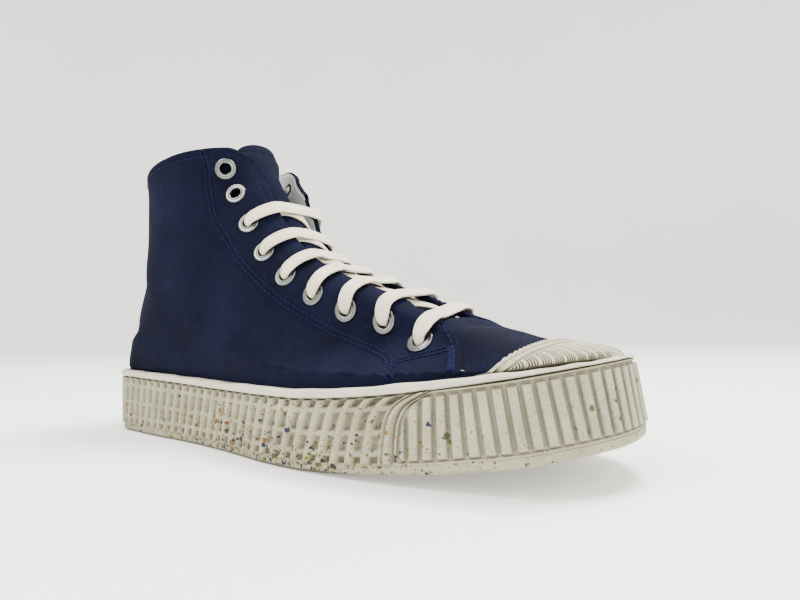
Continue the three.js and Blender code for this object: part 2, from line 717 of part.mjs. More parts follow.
// Outsole: ground strip, slab inside the foxing, cross grooves and a shallow waist
function outsoleSolid() {
  const level = (inset) => () => inset;
  const slab = (turn) => featherInset(turn);
  let solid = plateSolid([
    [level(stripTuck + edgeRound), 0],
    [level(stripTuck), edgeRound],
    [level(stripTuck), stripHeight],
    [slab, stripHeight],
    [slab, slabHeight],
  ], 34);
  const groove = (x) => {
    const turn = turnAt(x);
    const right = -halfWidth.lateral(turn) + treadMargin;
    const left = halfWidth.medial(turn) - treadMargin;
    const half = treadWidth / 2;
    return boxSolid([x - half, right, -1], [x + half, left, liftAt(x) + treadDepth]);
  };
  const heelEnd = soleLength * heelTreadEnd;
  for (let x = treadMargin * 1.5; x < heelEnd; x += treadPitch) {
    if (Math.abs(x - heelMiddle * soleLength) > treadWidth) solid = solid.subtract(groove(x));
  }
  for (let x = soleLength * ballTreadStart; x < soleLength - treadMargin * 2; x += treadPitch) {
    solid = solid.subtract(groove(x));
  }
  const waistFrom = soleLength * waistStart;
  const waistTo = soleLength * waistEnd;
  const turn = turnAt(waistFrom);
  const right = -halfWidth.lateral(turn) + treadMargin;
  const left = halfWidth.medial(turn) - treadMargin;
  return solid.subtract(boxSolid([waistFrom, right, -1], [waistTo, left, waistDepth]));
}

function insoleSolid() {
  const inset = (turn) => featherInset(turn) + quarterStep + upperWall + insoleGap;
  return plateSolid([
    [inset, slabHeight + fitGap],
    [inset, slabHeight + fitGap + insoleThickness],
  ], 22);
}

// Share a of a section that lies some length below the facing's edge, along the surface
const shareStep = 0.002;
function shareBelowEdge(side, t, length) {
  let a = edgeShare(side, t);
  let here = lastPoint(side, t, a);
  let gone = 0;
  while (gone < length && a > shareStep) {
    a -= shareStep;
    const next = lastPoint(side, t, a);
    gone += Math.hypot(...sub(next, here));
    here = next;
  }
  return a;
}

// Places of the eyelets along a facing, counted from the collar
function eyeletPlaces(side) {
  const share = (t) => {
    const up = (t - quarterRow) / (collarRow - quarterRow);
    return shareBelowEdge(side, t, eyeletReachFront + (eyeletReachTop - eyeletReachFront) * up);
  };
  const steps = 220;
  const rows = spread(steps, collarRow, quarterRow + 0.1);
  const route = rows.map((t) => ({ t, point: lastPoint(side, t, share(t)) }));
  const lengths = [0];
  for (let i = 1; i <= steps; i += 1) {
    lengths.push(lengths[i - 1] + Math.hypot(...sub(route[i].point, route[i - 1].point)));
  }
  const second = eyeletBelowCollar + eyeletTopPitch;
  const pitch = (lengths[steps] - eyeletToFront - second) / (eyeletCount - 2);
  return spread(eyeletCount - 1, 0, eyeletCount - 1).map((i) => {
    const wanted = i === 0 ? eyeletBelowCollar : second + pitch * (i - 1);
    const found = lengths.findIndex((length) => length >= wanted);
    const t = route[found].t;
    const a = share(t);
    return { side, t, a, point: lastPoint(side, t, a), normal: lastNormal(side, t, a) };
  });
}
const eyelets = { lateral: eyeletPlaces('lateral'), medial: eyeletPlaces('medial') };

// Frame with its Z along a normal at a point
function frameAt(point, normal) {
  const upright = new THREE.Vector3(0, 0, 1);
  const turn = new THREE.Quaternion().setFromUnitVectors(upright, new THREE.Vector3(...normal));
  return new THREE.Matrix4().compose(new THREE.Vector3(...point), turn, new THREE.Vector3(1, 1, 1));
}
const eyeletSides = 8;
const barrelRadius = eyeletBore / 2 + barrelWall;
function eyeletSolid(place) {
  const profile = [
    [eyeletBore / 2, innerOff + fitGap],
    [barrelRadius, innerOff + fitGap],
    [barrelRadius, eyeletSeat],
    [eyeletFlange / 2, eyeletSeat],
    [(eyeletFlange + eyeletBore) / 4, eyeletSeat + eyeletThick],
    [eyeletBore / 2, eyeletSeat + eyeletThick / 2],
  ];
  return turned(profile, eyeletSides, frameAt(place.point, place.normal));
}
// Hole for an eyelet, with a flat seat pressed into the cloth under its flange
function punch(place) {
  const radius = barrelRadius + fitGap;
  const deep = innerOff * 2;
  const seatRadius = eyeletFlange / 2 + fitGap;
  const seatFloor = eyeletSeat - fitGap;
  const profile = [
    [0, deep],
    [radius, deep],
    [radius, seatFloor],
    [seatRadius, seatFloor],
    [seatRadius, eyeletFlange / 2],
    [0, eyeletFlange / 2],
  ];
  return turned(profile, eyeletSides, frameAt(place.point, place.normal));
}

// Flat tape along points with their outward directions
function tapeSolid(stops, steps) {
  const vectors = (name) => stops.map((stop) => new THREE.Vector3(...stop[name]));
  const route = new THREE.CatmullRomCurve3(vectors('point'), false, 'centripetal');
  const outward = new THREE.CatmullRomCurve3(vectors('normal'), false, 'catmullrom');
  const rings = spread(steps).map((share) => {
    const centre = route.getPoint(share);
    const ahead = route.getTangent(share);
    const up = outward.getPoint(share);
    const wide = new THREE.Vector3().crossVectors(ahead, up).normalize();
    const thick = new THREE.Vector3().crossVectors(wide, ahead).normalize();
    return [[-1, -1], [1, -1], [1, 1], [-1, 1]].map(([w, h]) => centre.clone()
      .addScaledVector(wide, (w * laceWidth) / 2)
      .addScaledVector(thick, (h * laceThick) / 2)
      .toArray());
  });
  const skin = new Skin();
  for (let i = 0; i + 1 < rings.length; i += 1) {
    skin.strip([...rings[i + 1], rings[i + 1][0]], [...rings[i], rings[i][0]]);
  }
  const last = rings.at(-1);
  skin.quad(...rings[0]);
  skin.quad(last[3], last[2], last[1], last[0]);
  return skin.solid();
}

// Lace: straight bars over the facings, with slanting runs under them along the tongue
const barHeight = 4.8;
const barOverEdge = 4.8;
const barInside = 7;
const barMiddle = -0.4;
const laceGap = 1.8;
const runHeight = tongueOff + laceGap + laceThick / 2;
function laceStop(side, t, width, off, form) {
  const a = width === 0 ? 1 : shareAtWidth(side, t, width, form);
  return { point: lastOffset(side, t, a, off, form), normal: lastNormal(side, t, a, form) };
}
function laceBar(i) {
  const half = (side) => {
    const { t, a, point, normal } = eyelets[side][i];
    const gap = gapAt(side, t);
    const halfway = (a + edgeShare(side, t)) / 2;
    return [
      { point: add(point, scale(normal, barHeight)), normal },
      { point: lastOffset(side, t, halfway, barOverEdge), normal: lastNormal(side, t, halfway) },
      laceStop(side, t, gap + 1.5, barOverEdge, quarterForm),
      laceStop(side, t, gap - 2.5, barOverEdge, quarterForm),
      laceStop(side, t, Math.min(barInside, gap / 2), barMiddle, tongueForm),
    ];
  };
  return tapeSolid([...half('lateral'), ...half('medial').reverse()], 13);
}
function laceRun(i) {
  const from = eyelets.lateral[i].t;
  const to = eyelets.medial[i + 1].t;
  const reach = (t) => Math.min(gapAt('lateral', t), gapAt('medial', t)) - laceWidth * 0.7;
  const stops = [
    laceStop('lateral', from, reach(from), runHeight, tongueForm),
    laceStop('lateral', (from + to) / 2, 0, runHeight, tongueForm),
    laceStop('medial', to, reach(to), runHeight, tongueForm),
  ];
  return tapeSolid(stops, 6);
}
// Pockets closed in between crossing tapes are filled
const withoutPockets = (solid) =>
  wasm.Manifold.compose(solid.decompose().filter((shell) => shell.volume() > 0));
function laceSolid() {
  let solid = laceBar(firstLaced - 1);
  for (let i = firstLaced; i < eyeletCount; i += 1) {
    solid = solid.add(laceBar(i)).add(laceRun(i - 1));
  }
  return withoutPockets(solid);
}

const rubber = { colour: 0xcfccbd, roughness: 0.8 };
const canvas = { colour: 0x1f2349, roughness: 0.9 };
const cotton = { colour: 0xece6d6, roughness: 0.95 };
const group = new THREE.Group();
function piece(name, solid, { colour, roughness, metalness = 0 }) {
  const material = new THREE.MeshStandardMaterial({ color: colour, roughness, metalness });
  const mesh = new THREE.Mesh(geometryOf(solid), material);
  mesh.name = name;
  group.add(mesh);
}

piece('outsole', outsoleSolid(), rubber);
piece('foxing_lattice', latticeSolid(), rubber);
piece('toe_bumper', bumperSolid(), rubber);
piece('welt_tape', weltSolid(), { colour: 0xe3e0d6, roughness: 0.8 });
piece('toe_cap', toeCapSolid(), rubber);
let upper = upperSolid();
for (const place of [...eyelets.lateral, ...eyelets.medial]) upper = upper.subtract(punch(place));
piece('upper', upper, canvas);
piece('tongue', tongueSolid(), canvas);
piece('insole', insoleSolid(), { colour: 0xb9b7b0, roughness: 0.95 });
for (const side of ['lateral', 'medial']) {
  eyelets[side].forEach((place, i) => {
    piece(`eyelet_${side}_${i + 1}`, eyeletSolid(place), { colour: 0xc4c6c8, roughness: 0.3, metalness: 1 });
  });
}
piece('lace', laceSolid(), cotton);

group.position.x = -heelMiddle * soleLength;

export default group;
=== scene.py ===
"""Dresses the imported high-top canvas sneaker: cloth, seams, lace, eyelets and moulded rubber."""

import math

import bmesh
import bpy
import numpy as np
from mathutils import Matrix, Vector


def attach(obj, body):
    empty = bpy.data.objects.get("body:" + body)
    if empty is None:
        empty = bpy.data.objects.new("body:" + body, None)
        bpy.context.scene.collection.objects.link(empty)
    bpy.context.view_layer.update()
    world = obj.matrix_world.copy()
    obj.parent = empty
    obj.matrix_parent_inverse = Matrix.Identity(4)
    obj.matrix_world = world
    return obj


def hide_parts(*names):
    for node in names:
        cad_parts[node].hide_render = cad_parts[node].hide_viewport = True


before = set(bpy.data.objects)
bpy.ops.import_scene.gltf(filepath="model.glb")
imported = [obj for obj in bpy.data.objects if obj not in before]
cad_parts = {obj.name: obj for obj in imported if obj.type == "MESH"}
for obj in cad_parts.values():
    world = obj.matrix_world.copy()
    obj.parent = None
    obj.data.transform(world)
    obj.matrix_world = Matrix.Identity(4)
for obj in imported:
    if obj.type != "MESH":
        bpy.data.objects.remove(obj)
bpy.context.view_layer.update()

bl_info = {
    "name": "Canvas high-top sneaker",
    "version": (1, 0, 0),
    "blender": (4, 5, 0),
    "location": "View3D > Sidebar > Sneaker",
    "description": "Builds the cloth, rubber, lace and seams of a canvas high-top around its frame",
    "category": "Object",
}

# Sizes of the shoe in millimetres, x from the back of the heel, as the solids have them
SOLE_LENGTH = 297
BALL_WIDTH = 104
WALL_HEIGHT = 28.8
TOE_SPRING = 15.7
SPRING_START = 0.58
SPRING_POWER = 1.5
STRIP_HEIGHT = 3.6
FOXING_WALL = 4.2
FOOT_GAP = 0.6
TOE_BATTER = 3.6
WELT_HEIGHT = 3.5
UPPER_HEIGHT = 118
QUARTER_STEP = 0.9
CLOTH_WALL = 1.7
HEEL_MIDDLE = 0.135
BUMPER_START = 0.703
BUMPER_ARC = 16.5
BAR_LEAN = 0.3
CAP_ROW = 3
QUARTER_ROW = 4
HEEL_ROW = 12
COLLAR_ROW = 15
LOWER_SHARE = 0.35
TONGUE_DEPTH = 4.1

# Outline of the sole: along, lateral and medial half-widths, wall height, batter
OUTLINE = [
    (0.000, 0.000, 0.000, 1.095, 0.0),
    (0.012, 0.173, 0.154, 1.094, 0.0),
    (0.045, 0.286, 0.269, 1.090, 0.0),
    (0.100, 0.317, 0.322, 1.080, 0.0),
    (0.180, 0.344, 0.327, 1.060, 0.0),
    (0.290, 0.368, 0.303, 1.025, 0.0),
    (0.410, 0.420, 0.308, 1.000, 0.0),
    (0.530, 0.489, 0.375, 1.000, 0.0),
    (0.640, 0.508, 0.452, 1.000, 0.0),
    (0.740, 0.507, 0.490, 0.997, 0.1),
    (0.830, 0.479, 0.466, 0.992, 0.3),
    (0.900, 0.434, 0.404, 0.988, 0.6),
    (0.950, 0.320, 0.317, 0.985, 0.9),
    (0.983, 0.194, 0.202, 0.983, 1.0),
    (1.000, 0.000, 0.000, 0.983, 1.0),
]

# Sections of the last, from the toe (0) to the collar (15)
SECTION_FIELDS = (
    "around", "back_x", "back_rise", "top_x", "top_rise", "lateral", "medial", "level",
    "full_l", "full_m", "pinch", "flare_m", "gap_l", "gap_m",
)
SECTIONS = [
    (1.000, 0, 0, 0.970, 0.000, 0.00, 0.00, 0.10, 2.10, 2.10, 0.00, 0.000, 0.110, 0.11),
    (0.864, 0, 0, 0.956, 0.026, 0.24, 0.24, 0.10, 2.10, 2.10, 0.00, 0.000, 0.110, 0.11),
    (0.806, 0, 0, 0.926, 0.053, 0.36, 0.34, 0.10, 2.10, 2.10, 0.00, 0.000, 0.110, 0.11),
    (0.749, 0, 0, 0.882, 0.086, 0.41, 0.40, 0.10, 2.10, 2.10, 0.05, 0.000, 0.110, 0.11),
    (0.725, 0, 0, 0.761, 0.212, 0.44, 0.42, 0.10, 2.20, 2.20, 0.24, 0.000, 0.260, 0.11),
    (0.650, 0, 0, 0.697, 0.292, 0.47, 0.44, 0.12, 2.40, 2.40, 0.37, 0.000, 0.165, 0.12),
    (0.581, 0, 0, 0.640, 0.362, 0.46, 0.40, 0.14, 2.40, 2.40, 0.37, 0.000, 0.165, 0.125),
    (0.516, 0, 0, 0.576, 0.436, 0.44, 0.35, 0.16, 2.30, 2.30, 0.30, 0.000, 0.155, 0.13),
    (0.451, 0, 0, 0.512, 0.530, 0.40, 0.31, 0.20, 2.15, 2.20, 0.18, 0.000, 0.142, 0.14),
    (0.376, 0, 0, 0.458, 0.661, 0.36, 0.30, 0.25, 2.05, 2.20, 0.08, 0.030, 0.130, 0.16),
    (0.286, 0, 0, 0.421, 0.794, 0.34, 0.31, 0.32, 2.00, 2.40, 0.02, 0.080, 0.118, 0.185),
    (0.175, 0, 0, 0.397, 0.886, 0.34, 0.31, 0.38, 2.00, 2.70, 0.00, 0.085, 0.110, 0.21),
    (0.000, 0.010, 0, 0.386, 0.932, 0.33, 0.31, 0.42, 2.00, 3.00, 0.00, 0.080, 0.108, 0.225),
    (0.000, 0.032, 0.290, 0.375, 0.975, 0.325, 0.30, 0.45, 2.00, 3.30, 0.00, 0.080, 0.110, 0.235),
    (0.000, 0.058, 0.660, 0.368, 1.004, 0.325, 0.305, 0.48, 2.05, 3.60, 0.00, 0.080, 0.122, 0.24),
    (0.000, 0.044, 0.965, 0.362, 1.030, 0.34, 0.32, 0.50, 2.10, 3.80, 0.00, 0.075, 0.135, 0.24),
]

SIGN = {"lateral": -1, "medial": 1}


def ease(value):
    """Smooth step from 0 to 1."""
    v = np.clip(value, 0, 1)
    return v * v * (3 - 2 * v)


def curve_through(places, values):
    """Smooth cubic through the values at rising places, for arrays."""
    x = np.asarray(places, float)
    y = np.asarray(values, float)
    slope = np.diff(y) / np.diff(x)
    gap = np.diff(x)
    tangent = np.empty_like(y)
    tangent[0], tangent[-1] = slope[0], slope[-1]
    tangent[1:-1] = (slope[:-1] * gap[1:] + slope[1:] * gap[:-1]) / (gap[1:] + gap[:-1])

    def value(place):
        p = np.asarray(place, float)
        i = np.clip(np.searchsorted(x, p, side="left") - 1, 0, len(x) - 2)
        w = gap[i]
        u = np.clip((p - x[i]) / w, 0, 1)
        return (
            (2 * u**3 - 3 * u**2 + 1) * y[i] + (u**3 - 2 * u**2 + u) * w * tangent[i]
            + (3 * u**2 - 2 * u**3) * y[i + 1] + (u**3 - u**2) * w * tangent[i + 1]
        )
    return value


OUT = np.array(OUTLINE)
TURNS = np.arcsin(np.sqrt(OUT[:, 0])) / (math.pi / 2)
HALF_WIDTH = {
    "lateral": curve_through(TURNS, OUT[:, 1] * BALL_WIDTH),
    "medial": curve_through(TURNS, OUT[:, 2] * BALL_WIDTH),
}
wall_share = curve_through(TURNS, OUT[:, 3])
batter_share = curve_through(TURNS, OUT[:, 4])


def along_at(turn):
    """Share of the sole's length at a turn, with turns closer together at both ends."""
    return np.sin(np.asarray(turn) * math.pi / 2) ** 2


def turn_at(x):
    """The turn at a length from the heel."""
    return np.arcsin(np.sqrt(np.clip(np.asarray(x) / SOLE_LENGTH, 0, 1))) / (math.pi / 2)


def lift_at(x):
    """How far the toe spring lifts the sole off the floor."""
    past = np.maximum(0, (np.asarray(x) / SOLE_LENGTH - SPRING_START) / (1 - SPRING_START))
    return TOE_SPRING * past**SPRING_POWER


def foxing_top(x):
    """Height of the rubber wall's top edge."""
    return lift_at(x) + WALL_HEIGHT * wall_share(turn_at(x))


def welt_top(x):
    """Height of the welt's top edge, lower at the toe."""
    return foxing_top(x) + WELT_HEIGHT * (1 - 0.3 * ease((np.asarray(x) / SOLE_LENGTH - 0.75) / 0.25))


def batter_at(turn):
    """How far the wall leans in at its top."""
    return TOE_BATTER * batter_share(turn)


def rim_point(side, turn, inset):
    """Point of the sole's outline drawn in by some millimetres, as x and y."""
    turn = np.asarray(turn, float)

    def plan(u):
        return SOLE_LENGTH * along_at(u), SIGN[side] * HALF_WIDTH[side](u)
    x, y = plan(turn)
    x0, y0 = plan(np.maximum(0, turn - 1e-3))
    x1, y1 = plan(np.minimum(1, turn + 1e-3))
    length = np.hypot(x1 - x0, y1 - y0)
    nx = -SIGN[side] * (y1 - y0) / length
    ny = SIGN[side] * (x1 - x0) / length
    at_heel, at_toe = turn < 1e-6, turn > 1 - 1e-6
    nx = np.where(at_heel, -1, np.where(at_toe, 1, nx))
    ny = np.where(at_heel | at_toe, 0, ny)
    return x - nx * inset, np.where(at_heel | at_toe, 0, y - ny * inset), nx, ny


def feather_inset(turn):
    """From the sole's outline to the foot of the cloth."""
    return FOXING_WALL + FOOT_GAP + batter_at(turn)


COLUMN = {}
for number, field in enumerate(SECTION_FIELDS):
    size = {"top_x": SOLE_LENGTH, "top_rise": UPPER_HEIGHT}.get(field, 1)
    if field in ("lateral", "medial", "gap_l", "gap_m"):
        size = BALL_WIDTH
    COLUMN[field] = curve_through(range(len(SECTIONS)), [row[number] * size for row in SECTIONS])
BACK_X = curve_through(range(4), [row[1] * SOLE_LENGTH for row in SECTIONS[HEEL_ROW:]])
BACK_RISE = curve_through(range(4), [row[2] * UPPER_HEIGHT for row in SECTIONS[HEEL_ROW:]])


def foot_of(side, t):
    """Where a section of the last starts: on the welt, or up the heel's back seam."""
    turn = np.clip(COLUMN["around"](t), 0, 1)
    x, y, _, _ = rim_point(side, turn, feather_inset(turn))
    past = t - HEEL_ROW
    on_heel = past >= 0
    back = FOXING_WALL + FOOT_GAP + BACK_X(past) - SECTIONS[HEEL_ROW][1] * SOLE_LENGTH
    z = np.where(on_heel, welt_top(0) + BACK_RISE(past), welt_top(x))
    return np.where(on_heel, back, x), np.where(on_heel, 0, y), z


def last_point(side, t, a, tongue=False):
    """Point of the last: t counts the sections, a goes from the foot (0) to the middle line (1)."""
    t, a = np.broadcast_arrays(np.asarray(t, float), np.asarray(a, float))
    fx, fy, fz = foot_of(side, t)
    tip = SOLE_LENGTH - feather_inset(1.0)
    tx = np.minimum(tip, np.where(t <= 0, tip, COLUMN["top_x"](t)))
    tz = welt_top(tx) + np.where(t <= 0, 0, COLUMN["top_rise"](t))
    flared = side == "medial" and not tongue
    full = COLUMN["full_m" if flared else "full_l"](t)
    flare = COLUMN["flare_m"](t) if flared else 0
    foot_width = np.abs(fy)
    widest = np.maximum(foot_width + 0.4 * np.minimum(1, t), COLUMN[side](t))
    level = COLUMN["level"](t)
    low_turn = np.clip(a / LOWER_SHARE, 0, 1) * (math.pi / 2)
    rounding = ease((t - 8) / (HEEL_ROW - 8))
    straight = np.clip(a / LOWER_SHARE, 0, 1)
    low_rise = level * (straight + (1 - np.cos(low_turn) - straight) * rounding)
    low_width = foot_width + (widest - foot_width) * np.sin(low_turn)
    high_turn = np.clip((a - LOWER_SHARE) / (1 - LOWER_SHARE), 0, 1) * (math.pi / 2)
    share = np.sin(high_turn) ** (2 / full)
    waist = 1 - COLUMN["pinch"](t) * np.sin(math.pi * share)
    high_rise = level + (1 - level) * share + flare * np.sin(high_turn) ** 2
    high_width = widest * waist * np.maximum(0, np.cos(high_turn)) ** (2 / full)
    low = a < LOWER_SHARE
    rise = np.where(low, low_rise, high_rise)
    width = np.where(low, low_width, np.where(a >= 1, 0, high_width))
    return np.stack([fx + (tx - fx) * rise, SIGN[side] * width, fz + (tz - fz) * rise], -1)


def unit(v):
    """Vectors of length 1."""
    return v / np.maximum(np.linalg.norm(v, axis=-1, keepdims=True), 1e-9)


def last_normal(side, t, a, tongue=False):
    """Outward direction of the last's surface."""
    t, a = np.broadcast_arrays(np.asarray(t, float), np.asarray(a, float))
    step = 0.012
    after = last_point(side, np.minimum(COLLAR_ROW, t + step), a, tongue)
    before = last_point(side, np.maximum(0, t - step), a, tongue)
    higher = last_point(side, t, np.minimum(0.999, a + step), tongue)
    lower = last_point(side, t, np.maximum(0, a - step), tongue)
    surface = unit(SIGN[side] * np.cross(after - before, higher - lower))
    turn = np.clip(COLUMN["around"](t), 0, 1)
    _, _, nx, ny = rim_point(side, turn, 0)
    rim = np.stack([nx, ny, np.zeros_like(nx)], -1)
    trust = np.maximum(ease(t - CAP_ROW), ease((a - LOWER_SHARE) / 0.2))
    trust = np.where((a <= 0) & (t <= HEEL_ROW), 0, trust)[..., None]
    blended = unit(rim + (surface - rim) * trust)
    toe = np.where(t[..., None] <= 0, np.array([1.0, 0, 0]), blended)
    ridge = unit(np.cross(np.array([0, 1.0, 0]), after - before))
    return np.where((a >= 1)[..., None] & (t > 0)[..., None], ridge, toe)


def last_offset(side, t, a, off, tongue=False):
    """Point at some millimetres off the last."""
    return last_point(side, t, a, tongue) + last_normal(side, t, a, tongue) * np.asarray(off)[..., None]


def share_at_width(side, t, width, tongue=False):
    """Share a of a section where the last is this far from the middle plane."""
    t = np.asarray(t, float)
    low = np.full(t.shape, LOWER_SHARE)
    high = np.ones(t.shape)
    for _ in range(26):
        middle = (low + high) / 2
        wide = np.abs(last_point(side, t, middle, tongue)[..., 1]) > width
        low = np.where(wide, middle, low)
        high = np.where(wide, high, middle)
    return (low + high) / 2


def gap_at(side, t):
    """From the middle plane to the facing's edge."""
    return COLUMN["gap_l" if side == "lateral" else "gap_m"](t)


def edge_share(side, t):
    """Share a of the facing's edge."""
    return share_at_width(side, t, gap_at(side, t))


def bent(t, a, edge=None, medial=False):
    """The quarters' front edge bows to the toe, the collar sinks to the back and its corner is round."""
    front = -0.17 * np.sin(math.pi * np.minimum(1, a / 0.8)) - 0.05
    near_front = ease(1 - np.abs(t - QUARTER_ROW))
    dip = -0.28 * np.maximum(0, 1 - a / 0.5) ** 2
    bend = t + front * near_front + dip * ease((t - COLLAR_ROW + 2) / 2)
    if edge is None:
        return bend
    reach, drop = (0.34, 4.0) if medial else (0.14, 1.3)
    corner = np.maximum(0, (a / edge - 1 + reach) / reach)
    return bend - drop * corner**2.4 * ease((t - COLLAR_ROW + 6) / 6)


def running_mean(values, steps):
    """Each row averaged with the rows up to some steps away, the ends held."""
    weights = np.hanning(2 * steps + 3)[1:-1]
    weights /= weights.sum()
    padded = np.concatenate([np.repeat(values[:1], steps, 0), values, np.repeat(values[-1:], steps, 0)])
    return sum(w * padded[k:k + len(values)] for k, w in enumerate(weights))


def eased_over(t, a, points, row, reach):
    """Evens out the quarter's bend where the shaft's sections begin, along the first axis."""
    even = running_mean(points, max(1, int(reach / (t[1] - t[0]))))
    middle_band = ease((a - 0.14) / 0.2) * ease((0.64 - a) / 0.2)
    near = np.exp(-((t - row) / (reach * 1.1)) ** 2)[:, None] * middle_band
    return points + (even - points) * near[..., None]


# Length along the sole's rim from the heel
RIM_STEPS = 1200
RIM_TURN = np.linspace(0, 1, RIM_STEPS + 1)
RIM_LENGTH = {}
for which in SIGN:
    rim_x, rim_y, _, _ = rim_point(which, RIM_TURN, 0)
    RIM_LENGTH[which] = np.concatenate([[0], np.cumsum(np.hypot(np.diff(rim_x), np.diff(rim_y)))])


def rim_total(side):
    return RIM_LENGTH[side][-1]


def wall_point(d, up, proud):
    """Point of the side wall: d from the heel (negative medial), up 0 to 1, proud outwards."""
    d, up, proud = np.broadcast_arrays(np.asarray(d, float), np.asarray(up, float), np.asarray(proud, float))
    out = np.zeros(d.shape + (3,))
    for side in SIGN:
        chosen = (d < 0) if side == "medial" else (d >= 0)
        turn = np.interp(np.abs(d[chosen]), RIM_LENGTH[side], RIM_TURN)
        x, y, _, _ = rim_point(side, turn, batter_at(turn) * up[chosen] - proud[chosen])
        along = SOLE_LENGTH * along_at(turn)
        foot = lift_at(along) + STRIP_HEIGHT + 0.05
        out[chosen] = np.stack([x, y, foot + (foxing_top(along) - foot) * up[chosen]], -1)
    return out


def to_frame(points):
    """Millimetres from the heel's back to metres in the frame."""
    return (np.asarray(points, float) - np.array([HEEL_MIDDLE * SOLE_LENGTH, 0, 0])) / 1000


def size_mm(name):
    """A size of the panel, which holds metres, in millimetres."""
    return getattr(bpy.context.scene.sneaker, name) * 1000


class Cloth:
    """Gathers grids of points as one mesh with a map measured in metres."""

    def __init__(self):
        self.points, self.faces, self.maps, self.slots = [], [], [], []
        self.count = 0

    def grid(self, points, flip=False, slot=0, closed=False, keep=None):
        points = np.asarray(points, float)
        rows, cols = points.shape[:2]
        along = np.linalg.norm(np.diff(points, axis=0), axis=-1).mean(axis=1)
        across = np.linalg.norm(np.diff(points, axis=1), axis=-1).mean(axis=0)
        u = np.concatenate([[0], np.cumsum(along)]) / 1000
        v = np.concatenate([[0], np.cumsum(across)]) / 1000
        start = self.count
        self.points.append(points.reshape(-1, 3))
        self.maps.append(np.stack(np.meshgrid(u, v, indexing="ij"), -1).reshape(-1, 2))
        self.count += rows * cols
        i, j = np.meshgrid(np.arange(rows - 1), np.arange(cols if closed else cols - 1), indexing="ij")
        if keep is not None:
            i, j = i[keep], j[keep]
        i, j = i.ravel(), j.ravel()
        k = (j + 1) % cols
        quads = np.stack([i * cols + j, i * cols + k, (i + 1) * cols + k, (i + 1) * cols + j], -1) + start
        self.faces.append(quads[:, ::-1] if flip else quads)
        self.slots.append(np.full(len(quads), slot))

    def build(self, name, materials, weld=0.02, recalc=False):
        vertices = to_frame(np.concatenate(self.points))
        faces = np.concatenate(self.faces)
        maps = np.concatenate(self.maps)
        slots = np.concatenate(self.slots)
        mesh = bpy.data.meshes.new(name)
        mesh.from_pydata(vertices.tolist(), [], faces.tolist())
        layer = mesh.uv_layers.new(name="cloth")
        loops = np.empty(len(mesh.loops), int)
        mesh.loops.foreach_get("vertex_index", loops)
        layer.data.foreach_set("uv", maps[loops].ravel())
        mesh.polygons.foreach_set("material_index", slots)
        work = bmesh.new()
        work.from_mesh(mesh)
        if weld:
            bmesh.ops.remove_doubles(work, verts=work.verts, dist=weld / 1000)
        bmesh.ops.dissolve_degenerate(work, edges=work.edges, dist=1e-6)
        if recalc:
            bmesh.ops.recalc_face_normals(work, faces=work.faces)
        work.to_mesh(mesh)
        work.free()
        mesh.polygons.foreach_set("use_smooth", np.ones(len(mesh.polygons), bool))
        for material in materials:
            mesh.materials.append(material)
        piece = bpy.data.objects.new(name, mesh)
        bpy.context.scene.collection.objects.link(piece)
        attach(piece, "root")
        return piece


# Looks

def linear(code):
    """sRGB hex such as 'cfccbd' to a linear colour."""
    channels = [int(code[i:i + 2], 16) / 255 for i in (0, 2, 4)]
    return tuple(c / 12.92 if c <= 0.04045 else ((c + 0.055) / 1.055) ** 2.4 for c in channels) + (1,)


def add_node(tree, kind, settings=None, inputs=None):
    """Adds a node with its settings; an input's value is a constant or another node's socket."""
    node = tree.nodes.new(kind)
    for key, value in (settings or {}).items():
        setattr(node, key, value)
    for key, value in (inputs or {}).items():
        socket = node.inputs[key]
        if isinstance(value, bpy.types.NodeSocket):
            tree.links.new(value, socket)
        else:
            socket.default_value = value
    return node


def new_material(name):
    material = bpy.data.materials.new(name)
    material.use_nodes = True
    return material, material.node_tree, material.node_tree.nodes["Principled BSDF"]


def ramp(tree, factor, stops):
    node = add_node(tree, "ShaderNodeValToRGB", inputs={"Fac": factor})
    elements = node.color_ramp.elements
    while len(elements) < len(stops):
        elements.new(0.5)
    for element, (place, colour) in zip(elements, stops):
        element.position = place
        element.color = colour
    return node.outputs["Color"]


def blend(tree, factor, first, second, how="MIX"):
    node = add_node(tree, "ShaderNodeMix", {"data_type": "RGBA", "blend_type": how}, {
        0: factor, 6: first, 7: second})
    return node.outputs[2]


def maths(tree, how, first, second=0.0, clamp=False):
    node = add_node(tree, "ShaderNodeMath", {"operation": how, "use_clamp": clamp}, {
        0: first, 1: second})
    return node.outputs[0]


def remap(tree, value, given, wanted):
    """The value brought from one range to another, and held there."""
    node = add_node(tree, "ShaderNodeMapRange", inputs={
        "Value": value, "From Min": given[0], "From Max": given[1], "To Min": wanted[0], "To Max": wanted[1]})
    return node.outputs["Result"]


def noise(tree, place, size_mm, detail=2.0, rough=0.5):
    """Noise whose grains are about size_mm wide."""
    inputs = {"Vector": place, "Scale": 1000 / size_mm, "Detail": detail, "Roughness": rough}
    return add_node(tree, "ShaderNodeTexNoise", inputs=inputs).outputs["Fac"]


def place_of(tree):
    """The point in metres, so that patterns keep their real size."""
    return add_node(tree, "ShaderNodeTexCoord").outputs["Object"]


def weave_height(tree, pitch_mm):
    """Plain weave: threads of two directions passing over each other."""
    uv = add_node(tree, "ShaderNodeTexCoord").outputs["UV"]
    split = add_node(tree, "ShaderNodeSeparateXYZ", inputs={"Vector": uv})
    turn = math.pi * 1000 / pitch_mm
    warp = maths(tree, "SINE", maths(tree, "MULTIPLY", split.outputs["X"], turn))
    weft = maths(tree, "SINE", maths(tree, "MULTIPLY", split.outputs["Y"], turn))
    return maths(tree, "MULTIPLY", warp, weft)


